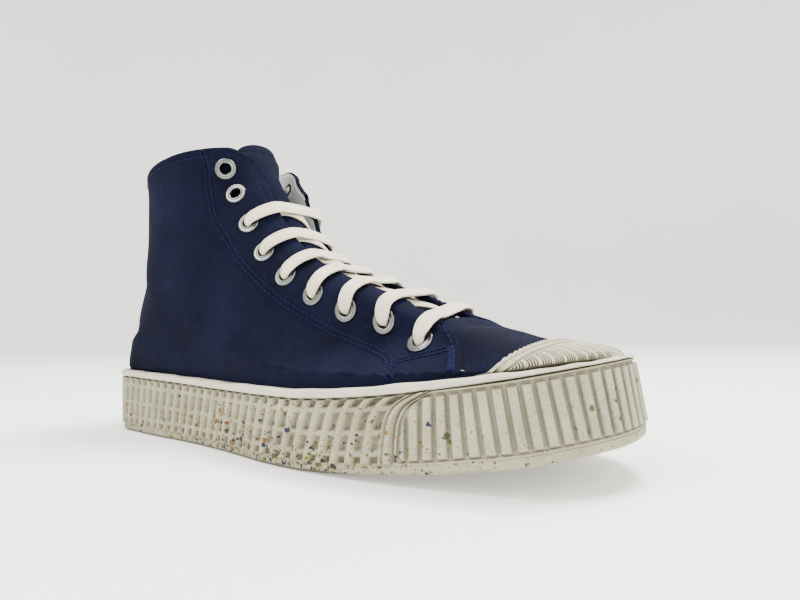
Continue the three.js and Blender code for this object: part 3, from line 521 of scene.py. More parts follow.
def roughen(tree, shader, height, strength, distance):
    """Fine relief of the surface, too small to be modelled; the distance is in metres."""
    bump = add_node(tree, "ShaderNodeBump", inputs={
        "Height": height, "Strength": strength, "Distance": distance})
    tree.links.new(bump.outputs["Normal"], shader.inputs["Normal"])


def navy_canvas():
    """Deep navy with a faint dusty bloom; the weave is drawn at 1.1 mm, coarser than life, to show."""
    material, tree, shader = new_material("navy cotton canvas, plain woven")
    place = place_of(tree)
    cloud = noise(tree, place, 38, 3)
    mottle = noise(tree, place, 2.2, 4, 0.7)
    base = ramp(tree, cloud, [(0.3, linear("080a18")), (0.7, linear("0f1226"))])
    lint = remap(tree, mottle, (0.55, 0.8), (0.0, 0.3))
    colour = blend(tree, lint, base, linear("262a45"))
    tree.links.new(colour, shader.inputs["Base Color"])
    weave = weave_height(tree, 1.1)
    fine = noise(tree, place, 0.6, 2)
    height = maths(tree, "ADD", maths(tree, "MULTIPLY", weave, 0.35), fine)
    roughen(tree, shader, height, 0.6, 0.00022)
    shader.inputs["Roughness"].default_value = 0.93
    shader.inputs["Specular IOR Level"].default_value = 0.06
    return material


def thread_material():
    """Polyester thread, twisted, a little bluer and shinier than the cloth."""
    material, tree, shader = new_material("twisted navy thread")
    twist = noise(tree, place_of(tree), 0.8, 2)
    colour = ramp(tree, twist, [(0.35, linear("060a26")), (0.7, linear("0e1440"))])
    tree.links.new(colour, shader.inputs["Base Color"])
    shader.inputs["Roughness"].default_value = 0.8
    shader.inputs["Specular IOR Level"].default_value = 0.15
    return material


def lining_material():
    """Unbleached cotton lining, light grey, with a soft nap."""
    material, tree, shader = new_material("light grey cotton lining")
    place = place_of(tree)
    tree.links.new(
        ramp(tree, noise(tree, place, 5, 3), [(0.35, linear("a9a9a8")), (0.7, linear("c4c3c0"))]),
        shader.inputs["Base Color"],
    )
    roughen(tree, shader, weave_height(tree, 1.2), 0.3, 0.00015)
    shader.inputs["Roughness"].default_value = 0.95
    return material


def cotton_material():
    """Flat woven cotton lace, cream, with ribs along it and small cross threads."""
    material, tree, shader = new_material("cream cotton lace, flat woven")
    place = place_of(tree)
    base = ramp(tree, noise(tree, place, 9, 3), [(0.3, linear("d6cbb0")), (0.75, linear("e8dfc8"))])
    uv = add_node(tree, "ShaderNodeTexCoord").outputs["UV"]
    split = add_node(tree, "ShaderNodeSeparateXYZ", inputs={"Vector": uv})
    # Painted shade in the furrows between the lace's ribs: darker 9c8f70 stripes along it.
    ribs = maths(tree, "COSINE", maths(tree, "MULTIPLY", split.outputs["Y"], 2 * math.pi * 1000 / 1.5))
    furrow_shade = remap(tree, ribs, (0.3, 1.0), (0.0, 0.55))
    base = blend(tree, furrow_shade, base, linear("9c8f70"))
    # Painted shade: the lace darkens to 8d8064 where its surface is enclosed within 1.2 mm.
    tree.links.new(painted_recess_shade(tree, base, 1.2, "8d8064"), shader.inputs["Base Color"])
    picks = maths(tree, "SINE", maths(tree, "MULTIPLY", split.outputs["X"], 2 * math.pi * 1000 / 0.9))
    height = maths(tree, "ADD", maths(tree, "MULTIPLY", picks, 0.4), noise(tree, place, 0.7, 2))
    roughen(tree, shader, height, 0.5, 0.0002)
    shader.inputs["Roughness"].default_value = 0.9
    shader.inputs["Sheen Weight"].default_value = 0.3
    return material


def eyelet_material():
    """Nickel-plated brass, pressed, softly brushed by use."""
    material, tree, shader = new_material("nickel plated eyelet")
    place = place_of(tree)
    shader.inputs["Metallic"].default_value = 1.0
    shader.inputs["Base Color"].default_value = linear("757674")
    tree.links.new(
        remap(tree, noise(tree, place, 1.5, 3), (0.0, 1.0), (0.2, 0.36)),
        shader.inputs["Roughness"],
    )
    return material


def painted_recess_shade(tree, base, depth_mm, dark):
    """Painted shade in grooves and pits: the colour darkens where the surface is enclosed."""
    shade = add_node(tree, "ShaderNodeAmbientOcclusion", {"samples": 8}, {"Distance": depth_mm / 1000})
    open_share = remap(tree, shade.outputs["AO"], (0.35, 0.95), (0.0, 1.0))
    return blend(tree, open_share, linear(dark), base)


def rubber_material(name, light, dark, specks, grit):
    """Vulcanised rubber, moulded: matt and warm, with crumbs of coloured rubber and dark grit."""
    material, tree, shader = new_material(name)
    place = place_of(tree)
    base = ramp(tree, noise(tree, place, 14, 4, 0.6), [(0.3, linear(dark)), (0.7, linear(light))])
    if grit:
        dust = noise(tree, place, 1.0, 3, 0.8)
        dust_spread = noise(tree, place, 22, 2)
        amount = maths(tree, "MULTIPLY", maths(tree, "GREATER_THAN", dust, 0.6), dust_spread)
        base = blend(tree, maths(tree, "MULTIPLY", amount, grit, True), base, linear("5a5348"))
    if specks:
        base = speckled(tree, place, base, specks)
    # Painted shade: the rubber darkens to 4d4838 where its surface is enclosed within 3.2 mm, in pits and
    # grooves.
    tree.links.new(painted_recess_shade(tree, base, 3.2, "4d4838"), shader.inputs["Base Color"])
    pits = noise(tree, place, 0.9, 3, 0.7)
    skin = noise(tree, place, 3.5, 2)
    height = maths(tree, "ADD", pits, maths(tree, "MULTIPLY", skin, 0.8))
    roughen(tree, shader, height, 0.45, 0.00028)
    shader.inputs["Roughness"].default_value = 0.72
    shader.inputs["Specular IOR Level"].default_value = 0.3
    return material


# Crumb colours, each with the place where it begins in the draw
CRUMBS = [
    ("6a4026", 0.0), ("7d5a1e", 0.24), ("5c6418", 0.4), ("37422a", 0.54), ("1a1e38", 0.68), ("2a2520", 0.84)]


def speckled(tree, place, base, amount):
    """Crumbs of brown, ochre, olive, green and navy rubber, thickest low down under the waist."""
    warp = add_node(tree, "ShaderNodeTexNoise", inputs={"Vector": place, "Scale": 1000 / 1.6, "Detail": 3.0})
    shifted = add_node(tree, "ShaderNodeVectorMath", {"operation": "MULTIPLY_ADD"}, inputs={
        0: warp.outputs["Color"], 1: (0.0022, 0.0022, 0.0022), 2: place})
    split = add_node(tree, "ShaderNodeSeparateXYZ", inputs={"Vector": place})
    near_floor = remap(tree, split.outputs["Z"], (0.003, 0.022), (1.0, 0.16))
    from_waist = maths(tree, "ABSOLUTE", maths(tree, "SUBTRACT", split.outputs["X"], 0.12))
    waist = remap(tree, from_waist, (0.03, 0.1), (1.0, 0.16))
    patch = remap(tree, noise(tree, place, 16, 2), (0.36, 0.58), (0.3, 1.0))
    thick = maths(tree, "MULTIPLY", near_floor, waist)
    thick = maths(tree, "MULTIPLY", maths(tree, "MULTIPLY", thick, patch), amount)
    for size_mm, share in ((3.0, 0.45), (1.9, 0.8), (1.2, 0.8)):
        cell = add_node(tree, "ShaderNodeTexVoronoi", inputs={
            "Vector": shifted.outputs["Vector"], "Scale": 1000 / size_mm, "Randomness": 1.0})
        pick = add_node(tree, "ShaderNodeSeparateColor", inputs={"Color": cell.outputs["Color"]})
        colour = ramp(tree, pick.outputs["Red"], [(place_on, linear(code)) for code, place_on in CRUMBS])
        chosen = maths(tree, "LESS_THAN", pick.outputs["Green"], maths(tree, "MULTIPLY", thick, share))
        inside = maths(tree, "LESS_THAN", cell.outputs["Distance"], maths(
            tree, "MULTIPLY", pick.outputs["Blue"], 0.62))
        base = blend(tree, maths(tree, "MULTIPLY", chosen, inside), base, colour)
    return base


LOOKS = {}


def look(name):
    """Each material is made once, when the first piece asks for it."""
    makers = {
        "canvas": navy_canvas,
        "thread": thread_material,
        "lining": lining_material,
        "cotton": cotton_material,
        "eyelet": eyelet_material,
        "sole": lambda: rubber_material("off-white vulcanised rubber, moulded", "a39d84", "8d8770", 0.8, 1.5),
        "strip": lambda: rubber_material(
            "off-white vulcanised rubber, trodden", "9f9980", "8a846c", 1.5, 1.5),
        "tape": lambda: rubber_material("pale rubber tape, rolled on", "cbc5b2", "bab4a0", 0.1, 0.8),
        "cap": lambda: rubber_material("off-white rubber cap, moulded", "b9b198", "a39c83", 0.06, 1.1),
    }
    if name not in LOOKS:
        LOOKS[name] = makers[name]()
    return LOOKS[name]


# Seams and places on the upper, as (t, a) on the last

EYESTAY_SEAM = [
    (14.9, 0.585), (14.51, 0.590), (13.38, 0.604), (12.29, 0.630), (10.59, 0.626), (9.57, 0.606),
    (9.03, 0.600), (8.32, 0.582), (7.63, 0.555), (6.93, 0.522), (6.16, 0.478), (5.42, 0.434),
    (5.02, 0.392), (4.88, 0.30), (4.88, 0.15), (4.9, 0.02),
]
EYELET_COUNT = 9
EYELET_BELOW_COLLAR = 11
EYELET_TOP_PITCH = 15
EYELET_TO_FRONT = 19
EYELET_REACH = (18, 15)
FIRST_LACED = 3


def share_below_edge(side, t, length):
    """Share a of a section that lies a length below the facing's edge, along the surface."""
    top = float(edge_share(side, np.array(float(t))))
    shares = np.linspace(top, 0.02, 400)
    points = last_point(side, np.full(400, t), shares)
    gone = np.concatenate([[0], np.cumsum(np.linalg.norm(np.diff(points, axis=0), axis=-1))])
    return float(np.interp(length, gone, shares))


def eyelet_places(side):
    """The eyelets' places on the facing, evenly spaced along it, as the solids have them."""
    rows = np.linspace(COLLAR_ROW, QUARTER_ROW + 0.1, 221)
    front, top = EYELET_REACH
    up = (rows - QUARTER_ROW) / (COLLAR_ROW - QUARTER_ROW)
    shares = np.array([share_below_edge(side, t, front + (top - front) * k) for t, k in zip(rows, up)])
    points = last_point(side, rows, shares)
    lengths = np.concatenate([[0], np.cumsum(np.linalg.norm(np.diff(points, axis=0), axis=-1))])
    second = EYELET_BELOW_COLLAR + EYELET_TOP_PITCH
    pitch = (lengths[-1] - EYELET_TO_FRONT - second) / (EYELET_COUNT - 2)
    wanted = [EYELET_BELOW_COLLAR] + [second + pitch * i for i in range(EYELET_COUNT - 1)]
    found = [int(np.argmax(lengths >= length)) for length in wanted]
    return [
        {"t": rows[k], "a": shares[k], "point": points[k], "normal": last_normal(side, rows[k], shares[k])}
        for k in found
    ]


EYELETS = {side: eyelet_places(side) for side in SIGN}

# Creases: two ends in millimetres, half-width and depth (down is negative)
CREASES = [
    ((29, -21, 138), (22, -27, 96), 3.6, -2.0),
    ((37, -25, 138), (31, -30, 100), 4.0, 1.2),
    ((22, -24, 92), (44, -36, 66), 8.0, -1.6),
    ((60, -33, 96), (96, -38, 62), 9.0, 1.3),
    ((86, -35, 100), (128, -38, 62), 8.0, -1.5),
    ((100, -42, 58), (150, -44, 44), 6.0, 1.1),
    ((120, -42, 52), (170, -44, 42), 6.0, -1.0),
    ((20, -28, 52), (70, -37, 46), 4.0, 1.2),
    ((18, -28, 60), (60, -37, 56), 4.0, -1.0),
    ((186, -46, 44), (222, -46, 38), 5.0, -0.9),
    ((206, -20, 66), (216, -44, 44), 4.5, -1.0),
    ((232, -22, 55), (238, 18, 56), 4.5, -1.1),
    ((248, -24, 48), (252, 18, 49), 4.5, -0.7),
    ((30, 22, 132), (26, 28, 98), 5.0, -1.8),
    ((70, 34, 96), (120, 34, 62), 8.0, -1.5),
    ((190, 44, 46), (225, 46, 40), 5.0, -0.9),
    ((206, 18, 66), (216, 42, 46), 4.5, -1.0),
]


def creased(points, normals):
    """Soft troughs and ridges at the listed places, and the cloth's slow waves."""
    depth = np.zeros(points.shape[:-1])
    for first, second, half_width, height in CREASES:
        a, b = np.array(first, float), np.array(second, float)
        share = np.clip(((points - a) @ (b - a)) / ((b - a) @ (b - a)), 0, 1)
        near = a + (b - a) * share[..., None]
        far = np.linalg.norm(points - near, axis=-1) / half_width
        fade = 1 - 0.75 * np.abs(2 * share - 1) ** 2
        depth += height * fade * np.exp(-far**2)
    x, y, z = points[..., 0], points[..., 1], points[..., 2]
    depth += 0.25 * np.sin(x / 17 + y / 11 + 1.1) * np.sin(z / 13 + y / 23)
    depth += 0.12 * np.sin(x / 7.1 + z / 9 + 0.4) * np.sin(z / 6.3 - y / 8)
    return points + normals * depth[..., None]


def seam_points(route, side, spacing=1.0, shift=0.0, off=0.0):
    """Even points along a route of (t, a), pushed sideways along the surface."""
    route = np.array(route, float)
    fine = np.linspace(0, len(route) - 1, 60 * len(route))
    t = curve_through(range(len(route)), route[:, 0])(fine)
    a = curve_through(range(len(route)), route[:, 1])(fine)
    points = last_point(side, t, a)
    normals = last_normal(side, t, a)
    ahead = unit(np.gradient(points, axis=0))
    points = points + unit(np.cross(ahead, normals)) * shift + normals * off
    lengths = np.concatenate([[0], np.cumsum(np.linalg.norm(np.diff(points, axis=0), axis=-1))])
    even = np.arange(0, lengths[-1], spacing)
    places = np.stack([np.interp(even, lengths, points[:, k]) for k in range(3)], -1)
    if len(even) > 40:
        calm = running_mean(places, int(12 / spacing))
        ends = np.minimum(even, lengths[-1] - even)
        places += (calm - places) * ease((ends - 8) / 30)[:, None] * (places[:, 2] > 75)[:, None]
    outward = unit(np.stack([np.interp(even, lengths, normals[:, k]) for k in range(3)], -1))
    return places, outward


def near_seam(points, lines, width):
    """How close each point lies to the seams, from 0 to 1."""
    flat = points.reshape(-1, 3)
    best = np.full(len(flat), 1e9)
    for line in lines:
        for chunk in range(0, len(line), 40):
            part = line[chunk:chunk + 40]
            gap = np.linalg.norm(flat[:, None] - part[None], axis=-1).min(axis=1)
            best = np.minimum(best, gap)
    return np.exp(-(best / width) ** 2).reshape(points.shape[:-1])


def rolled(outer, inner, outward, steps=5):
    """Rows that turn over an edge from an outer line to an inner one."""
    middle, half = (outer + inner) / 2, (outer - inner) / 2
    radius = np.linalg.norm(half, axis=-1, keepdims=True)
    angles = [math.pi * k / steps for k in range(steps + 1)]
    return np.stack([
        middle + half * math.cos(angle) + outward * radius * math.sin(angle) for angle in angles])


# The pieces

QUARTER_ROWS = 200
QUARTER_COLUMNS = 84
VAMP_ROWS = 60
VAMP_COLUMNS = 90
VAMP_START = 2.2
VAMP_UNDER_QUARTER = 0.35
LINING_START = 9
FOOT_UPRIGHT = 0.8
ROW_APART = 1.2
SEAM_DEPTH = 0.45
EYESTAY_PROUD = 0.35
HEM_BELOW_COLLAR = 2.6


def quarter_seams(side):
    """Both stitch rows of the eyestay's seam, which the cloth sinks under."""
    return [seam_points(EYESTAY_SEAM, side, 1.0, shift)[0] for shift in (-ROW_APART, ROW_APART)]


def lay_quarter(cloth, side):
    """One side of the shaft: creased face and lining, turned over at the facing and the collar."""
    flip = side == "medial"
    t = np.linspace(QUARTER_ROW, COLLAR_ROW, QUARTER_ROWS)[:, None]
    share = np.linspace(0, 1, QUARTER_COLUMNS)[None, :]
    a = share * edge_share(side, t[:, 0])[:, None]
    tt = bent(t, a, edge_share(side, t[:, 0])[:, None], flip)
    base = eased_over(t[:, 0], a, last_point(side, tt, a), HEEL_ROW, 1.3)
    normal = unit(eased_over(t[:, 0], a, last_normal(side, tt, a), HEEL_ROW, 1.3))
    level_y = last_point(side, tt, LOWER_SHARE)[..., 1]
    upright = FOOT_UPRIGHT * ease((9 - t) / 3) * (a < LOWER_SHARE)
    base[..., 1] += (level_y - base[..., 1]) * upright
    outer = creased(base, normal)
    steps = np.linalg.norm(np.diff(base, axis=0), axis=-1)
    to_top = np.concatenate([np.cumsum(steps[::-1], axis=0)[::-1], np.zeros((1, steps.shape[1]))])
    seam = near_seam(base, quarter_seams(side), 1.1)
    stay = eyestay_side(tt, a)
    outer = outer + normal * (EYESTAY_PROUD * stay - SEAM_DEPTH * seam)[..., None]
    hem = np.exp(-((to_top - HEM_BELOW_COLLAR) / 0.7) ** 2) * 0.35
    outer = outer - normal * hem[..., None]
    outer = pressed(side, outer)
    inner = outer - normal * (CLOTH_WALL + QUARTER_STEP)
    keep = clear_of_eyelets(side, outer)
    cloth.grid(outer, flip, keep=keep)
    cloth.grid(inner, not flip, slot=1, keep=keep)
    edge_out = unit(outer[:, -1] - outer[:, -3])
    cloth.grid(np.moveaxis(rolled(outer[:, -1], inner[:, -1], edge_out), 0, 1), flip)
    top_out = unit(outer[-1] - outer[-4])
    cloth.grid(rolled(outer[-1], inner[-1], top_out), flip)
    front = last_offset(side, tt[0] - 0.012, a[0], -QUARTER_STEP - 0.3)
    cloth.grid(np.stack([front, outer[0]]), flip)


def lay_vamp(cloth, side):
    """One side of the cloth over the toes, which runs a little way under the quarter."""
    flip = side == "medial"
    t = np.linspace(VAMP_START, QUARTER_ROW + VAMP_UNDER_QUARTER, VAMP_ROWS)[:, None]
    a = np.linspace(0, 1, VAMP_COLUMNS)[None, :]
    tt = np.broadcast_to(t, (len(t), a.shape[1]))
    base = last_point(side, tt, a)
    normal = last_normal(side, tt, a)
    level_y = last_point(side, tt, LOWER_SHARE)[..., 1]
    upright = FOOT_UPRIGHT * (a < LOWER_SHARE) * ease((t - 2) / 1.5)
    base[..., 1] += (level_y - base[..., 1]) * upright
    off = np.where((a <= 0) | (t <= 0), 0.0, -QUARTER_STEP)
    vamp = creased(base + normal * off[..., None], normal)
    beyond = (tt[:-1, :-1] > QUARTER_ROW + 0.02) & (a[:, :-1] > edge_share(side, np.full(1, 4.0)))
    cloth.grid(vamp, flip, keep=~beyond)
    lining = (vamp - normal * CLOTH_WALL)[:, LINING_START:]
    cloth.grid(lining, not flip, slot=1, keep=~beyond[:, LINING_START:])


def build_upper():
    """Canvas quarters over a canvas vamp, with a light lining."""
    cloth = Cloth()
    for side in SIGN:
        lay_quarter(cloth, side)
        lay_vamp(cloth, side)
    piece = cloth.build("canvas_upper", [look("canvas"), look("lining")])
    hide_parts("upper")
    return piece


def eyestay_side(t, a):
    """1 between the eyestay's seam and the facing's edge, easing to 0 over the seam."""
    route = np.array(EYESTAY_SEAM[:13], float)[::-1]
    seam_a = np.interp(t, route[:, 0], route[:, 1])
    return ease((a - seam_a) / 0.02 + 0.5) * ease((t - 4.9) / 0.1)


def pressed(side, points):
    """The cloth lies flat under each eyelet's flange."""
    for place in EYELETS[side]:
        away = points - place["point"]
        height = away @ place["normal"]
        radius = np.sqrt(np.maximum(0, (away**2).sum(-1) - height**2))
        share = ease((9.5 - radius) / 3.5) * (np.abs(height) < 5)
        points = points - place["normal"] * ((height - 0.3) * share)[..., None]
    return points


def clear_of_eyelets(side, points, radius=3.9):
    """The cloth's faces outside the eyelet holes."""
    centre = (points[:-1, :-1] + points[1:, 1:]) / 2
    keep = np.ones(centre.shape[:2], bool)
    for place in EYELETS[side]:
        away = centre - place["point"]
        beside = away - (away @ place["normal"])[..., None] * place["normal"]
        keep &= (np.linalg.norm(beside, axis=-1) > radius) | (np.linalg.norm(away, axis=-1) > 9)
    return keep


TONGUE_WALL = 2.2
LIP_ROWS = 14


def build_tongue():
    """One layer of canvas over thin padding, its edge rolled closed at the top and both sides."""
    cloth = Cloth()
    rows = np.linspace(3.5, COLLAR_ROW, 150)
    crest = unit(last_point("lateral", 15.0, 1.0) - last_point("lateral", 14.0, 1.0))
    halves = []
    for side, reach, count in (("lateral", 29, 34), ("medial", 17, 24)):
        wider = 9 * ease((rows - 10) / 4) if side == "medial" else 0
        width = np.minimum(reach + wider, COLUMN[side](rows) * 0.85)
        edge = share_at_width(side, rows, width, True)
        a = edge[:, None] + (1 - edge[:, None]) * np.linspace(0, 1, count)[None, :]
        t = np.broadcast_to(rows[:, None], a.shape)
        halves.append((last_point(side, t, a, True), last_normal(side, t, a, True)))
    base = np.concatenate([halves[0][0], halves[1][0][:, ::-1][:, 1:]], axis=1)
    normal = np.concatenate([halves[0][1], halves[1][1][:, ::-1][:, 1:]], axis=1)
    across = np.linspace(0, 1, base.shape[1])
    lip = 10.5 * np.sin(math.pi * np.clip((across - 0.27) / 0.78, 0, 1)) ** 0.75 + 0.4
    extra = [base[-1] + crest * (lip * k / LIP_ROWS)[:, None] for k in range(1, LIP_ROWS + 1)]
    base = np.concatenate([base, np.stack(extra)])
    normal = np.concatenate([normal, np.repeat(normal[-1:], LIP_ROWS, axis=0)])
    outer = creased(base - normal * TONGUE_DEPTH, normal)
    ridge = np.exp(-((np.arange(len(base)) - (len(base) - 9)) / 1.2) ** 2)[:, None]
    outer = outer - normal * (0.3 * ridge)[..., None]
    inner = outer - normal * TONGUE_WALL
    cloth.grid(outer)
    cloth.grid(inner, True, slot=1)
    cloth.grid(rolled(outer[-1], inner[-1], crest), False)
    for column, flip in ((0, True), (-1, False)):
        out = unit(outer[:, column] - outer[:, 1 if column == 0 else -2])
        cloth.grid(np.moveaxis(rolled(outer[:, column], inner[:, column], out), 0, 1), flip)
    piece = cloth.build("canvas_tongue", [look("canvas"), look("lining")])
    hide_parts("tongue")
    return piece


def bumper_line(side, up):
    """Where the bumper's arched end stands, along the rim."""
    return rim_total(side) * BUMPER_START + BUMPER_ARC * (0.2 * up**2 + 0.8 * up**8)


def plateau(value, centre, half, soft):
    """1 within half of the centre, easing to 0 over soft."""
    return ease((half + soft - np.abs(value - centre)) / soft)


def band_cloth(place, up, proud):
    """A band's moulded face on the side wall, closed to its back along both edges."""
    cloth = Cloth()
    front = wall_point(place, up, proud)
    cloth.grid(front, True)
    back = wall_point(place[:, [0, -1]], np.array([[0.0, 1.0]]), -FOXING_WALL)
    cloth.grid(np.stack([front[:, -1], back[:, 1]], 1), True)
    cloth.grid(np.stack([back[:, 0], front[:, 0]], 1), True)
    return cloth


RAIL_LEVELS = (0.17, 0.47, 0.82)
RAIL_PROUD = 1.7
BAR_PROUD = 2.7
PIT_DEPTH = 1.0
RIB_PROUD = 1.45
OUTLINE_PROUD = 0.8


def build_lattice():
    """Leaning rounded bars over three lower rails, with pits between them."""
    reach = {side: rim_total(side) * BUMPER_START for side in SIGN}
    bars = round((reach["lateral"] + reach["medial"]) / size_mm("bar_pitch"))
    c = np.linspace(0, 1, bars * 15 + 1)[:, None]
    up = np.concatenate([
        np.linspace(0, 0.06, 6)[:-1], np.linspace(0.06, 0.92, 50), np.linspace(0.92, 1, 9)[1:]])[None, :]
    d = -reach["medial"] + (reach["lateral"] + reach["medial"]) * c
    end = np.where(d < 0, reach["medial"], reach["lateral"])
    to_end = (np.abs(d) / end) ** 12
    arc = np.where(d < 0, bumper_line("medial", up), bumper_line("lateral", up)) - end - 0.3
    lean = BAR_LEAN * WALL_HEIGHT * (up - 0.5) * np.sin(math.pi * d / (2 * end))
    place = d + arc * np.sign(d) * to_end + lean * (1 - to_end)
    phase = (c * bars) % 1
    tip_round = round_top(np.maximum(up, 0.93), 0.93, 0.055) * round_top(np.minimum(up, 0.07), 0.07, 0.05)
    bar = round_top(phase, 0.5, 0.29) ** 0.7 * tip_round
    rails = np.maximum.reduce([round_top(up, level, 0.062) + 0 * phase for level in RAIL_LEVELS])
    base = -PIT_DEPTH * ease((np.minimum(up, 1 - up) - 0.03) / 0.03)
    to_strip = end - np.abs(d)
    inside = ease((to_strip - 3.4) / 1.0)
    height = np.maximum(base + bar * BAR_PROUD, base + rails * RAIL_PROUD) * inside
    arc_bar = round_top(to_strip, 2.0, 1.5) * RAIL_PROUD
    height = np.where(arc_bar > 0, np.maximum(height, arc_bar), height)
    height += (0.5 - height) * plateau(up, 0.0, 0.02, 0.012)
    cloth = band_cloth(place, up, height - 1.5)
    piece = cloth.build("lattice_foxing", [look("sole")])
    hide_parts("foxing_lattice")
    return piece


def round_top(value, centre, half):
    """Height of a round rod across its width, from 0 at half away to 1."""
    return np.sqrt(np.clip(1 - ((value - centre) / half) ** 2, 0, 1))


def build_bumper():
    """Flat-topped ribs round the toe, upright in a sunk panel with a thin raised outline."""
    length = {side: rim_total(side) * (1 - BUMPER_START) for side in SIGN}
    whole = length["lateral"] + length["medial"]
    ribs = round(whole / size_mm("rib_pitch"))
    c = np.linspace(0, 1, ribs * 18 + 1)[:, None]
    up = np.concatenate([
        np.linspace(0, 0.1, 10)[:-1], np.linspace(0.1, 0.88, 22)[:-1], np.linspace(0.88, 1, 16)])[None, :]
    run = whole * c
    first = run <= length["lateral"]
    past = np.where(first, run, whole - run)
    total = np.where(first, rim_total("lateral"), rim_total("medial"))
    arc = np.where(first, bumper_line("lateral", up), bumper_line("medial", up)) - total * BUMPER_START
    start = total * BUMPER_START + arc
    straight = total * BUMPER_START + past
    from_tip = total - straight
    lean = 4.0 * (up - 0.5) * ease(from_tip / 45) * ease((past - 12) / 26)
    distance = straight + arc * np.maximum(0, 1 - past / 26) - lean
    place = distance * np.where(first, 1, -1)
    phase = ((total - distance - lean) / size_mm("rib_pitch") + 0.5) % 1
    from_start = distance - start
    inside = ease((0.935 - up) / 0.02) * ease((up - 0.06) / 0.02) * ease((from_start - 2.6) / 0.8)
    rib = plateau(phase, 0.5, 0.28, 0.12) * inside
    outline = np.maximum(plateau(up, 0.985, 0.012, 0.012), plateau(up, 0.0, 0.035, 0.012) * 0.62)
    outline = np.maximum(outline, plateau(from_start, 1.1, 0.35, 0.5))
    height = np.maximum(rib * RIB_PROUD, outline * OUTLINE_PROUD)
    cloth = band_cloth(place, up, height - RIB_PROUD)
    piece = cloth.build("ribbed_toe_bumper", [look("sole")])
    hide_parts("toe_bumper")
    return piece


def ring_turns(count):
    """Turns once round the sole, from the heel by the lateral side."""
    turns = [("lateral", turn) for turn in np.linspace(0, 1, count + 1)]
    return turns + [("medial", turn) for turn in np.linspace(1, 0, count + 1)[1:-1]]


WELT_DRAWN = 2.2


def build_welt():
    """Rolled tape with an edge that is pressed by hand, so it waves a little."""
    cloth = Cloth()
    rows = []
    profile = [(4.2, 0.0), (1.0, 0.0), (0.2, 0.03), (-0.45, 0.14), (-0.8, 0.35), (-0.75, 0.6), (-0.3, 0.82),
               (0.4, 0.94), (1.4, 1.0), (3.0, 1.0), (4.5, 0.97)]
    for k, (side, turn) in enumerate(ring_turns(260)):
        along = SOLE_LENGTH * along_at(turn)
        low = foxing_top(along) + 0.1
        foot_x = rim_point(side, turn, feather_inset(turn))[0]
        high = welt_top(foot_x) + 0.25 * math.sin(k * 0.37) * math.sin(k * 0.113 + 1) + 0.1
        row = []
        drawn = WELT_DRAWN * ease((along / SOLE_LENGTH - 0.7) / 0.2)
        for inset, up in profile:
            x, y, _, _ = rim_point(side, turn, max(inset, inset + drawn * (1 - up)) + batter_at(turn))
            row.append((float(x), float(y), float(low + (high - low) * up)))
        rows.append(row)
    rows.append(rows[0])
    cloth.grid(np.array(rows), True)
    piece = cloth.build("welt_tape_rolled", [look("tape")])
    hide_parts("welt_tape")
    return piece


CAP_ROWS = 190
CAP_COLUMNS = 220
CAP_EDGE = 1.2
CAP_SECOND_RIDGE = 5.2
CAP_RIBS_START = 6.4
CAP_RIB_GROUP = 6.6
CAP_RIB_HEIGHT = 0.6
CAP_SKIRT = 3.0


def build_cap():
    """Moulded cap: a rope-like rear edge, a second ridge inside it and slanting ribs."""
    cloth = Cloth()
    for side in SIGN:
        flip = side == "medial"
        share = np.linspace(0, 1, CAP_ROWS)[:, None]
        a = np.linspace(0, 1, CAP_COLUMNS)[None, :]
        rear = CAP_ROW - 0.12 + 0.35 * np.maximum(0, 1 - a / 0.3) ** 2
        t = share * rear
        base = last_point(side, t, a)
        normal = last_normal(side, t, a)
        from_edge = np.linalg.norm(base - base[-1][None], axis=-1)
        y = base[..., 1]
        edge = plateau(from_edge, CAP_EDGE, 0.7, 0.6)
        rope = 0.75 + 0.25 * np.sin(y * 2.6 + from_edge * 2.2)
        second = plateau(from_edge, CAP_SECOND_RIDGE, 0.35, 0.5)
        slant = 0.86 * np.abs(y) - 0.51 * base[..., 0] + np.abs(y) ** 2 / 90
        group = (slant / CAP_RIB_GROUP) % 1
        fine = np.abs(2 * ((group * 5) % 1) - 1)
        ribs = np.where(group < 0.8, ease(fine * 2.6 - 0.3), 1.0) * ease((from_edge - CAP_RIBS_START) / 0.8)
        foot_clear = ease((a - 0.03) / 0.05)
        height = np.maximum(edge * rope, second * 0.75)
        height = np.maximum(height, ribs * CAP_RIB_HEIGHT * foot_clear)
        off = 1.0 + (0.45 - QUARTER_STEP + 0.7 + height - 1.0) * ease(share * 12)
        off = np.where(share <= 0, 1.0, off) * (0.35 + 0.65 * foot_clear)
        outer = base + normal * off[..., None]
        cloth.grid(outer, flip)
        rim = base[-1] + normal[-1] * (0.2 - QUARTER_STEP)
        cloth.grid(np.stack([outer[-1], rim]), flip)
        foot = outer[:, 0] - np.array([0, 0, CAP_SKIRT])
        cloth.grid(np.stack([foot, outer[:, 0]], 1), flip)
    piece = cloth.build("moulded_toe_cap", [look("cap")])
    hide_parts("toe_cap")
    return piece


def build_lace():
    """Seven bars over the facings, out of one eyelet and into the next, and runs beneath them."""
    cloth = Cloth()
    for i in range(FIRST_LACED - 1, EYELET_COUNT):
        points, ups, widths = bar_route(i)
        tape(cloth, points, ups, widths)
    for i in range(FIRST_LACED - 1, EYELET_COUNT - 1):
        points, ups, widths = run_route(i)
        tape(cloth, points, ups, widths)
    piece = cloth.build("flat_cotton_lace", [look("cotton")], weld=0.001)
    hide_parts("lace")
    return piece


def on_last(side, t, width, off, tongue=False):
    """Point and outward direction above the last at a width from the middle."""
    a = 1.0 if width == 0 else float(share_at_width(side, np.array(t, float), width, tongue))
    return last_offset(side, t, a, off, tongue), last_normal(side, t, a, tongue)


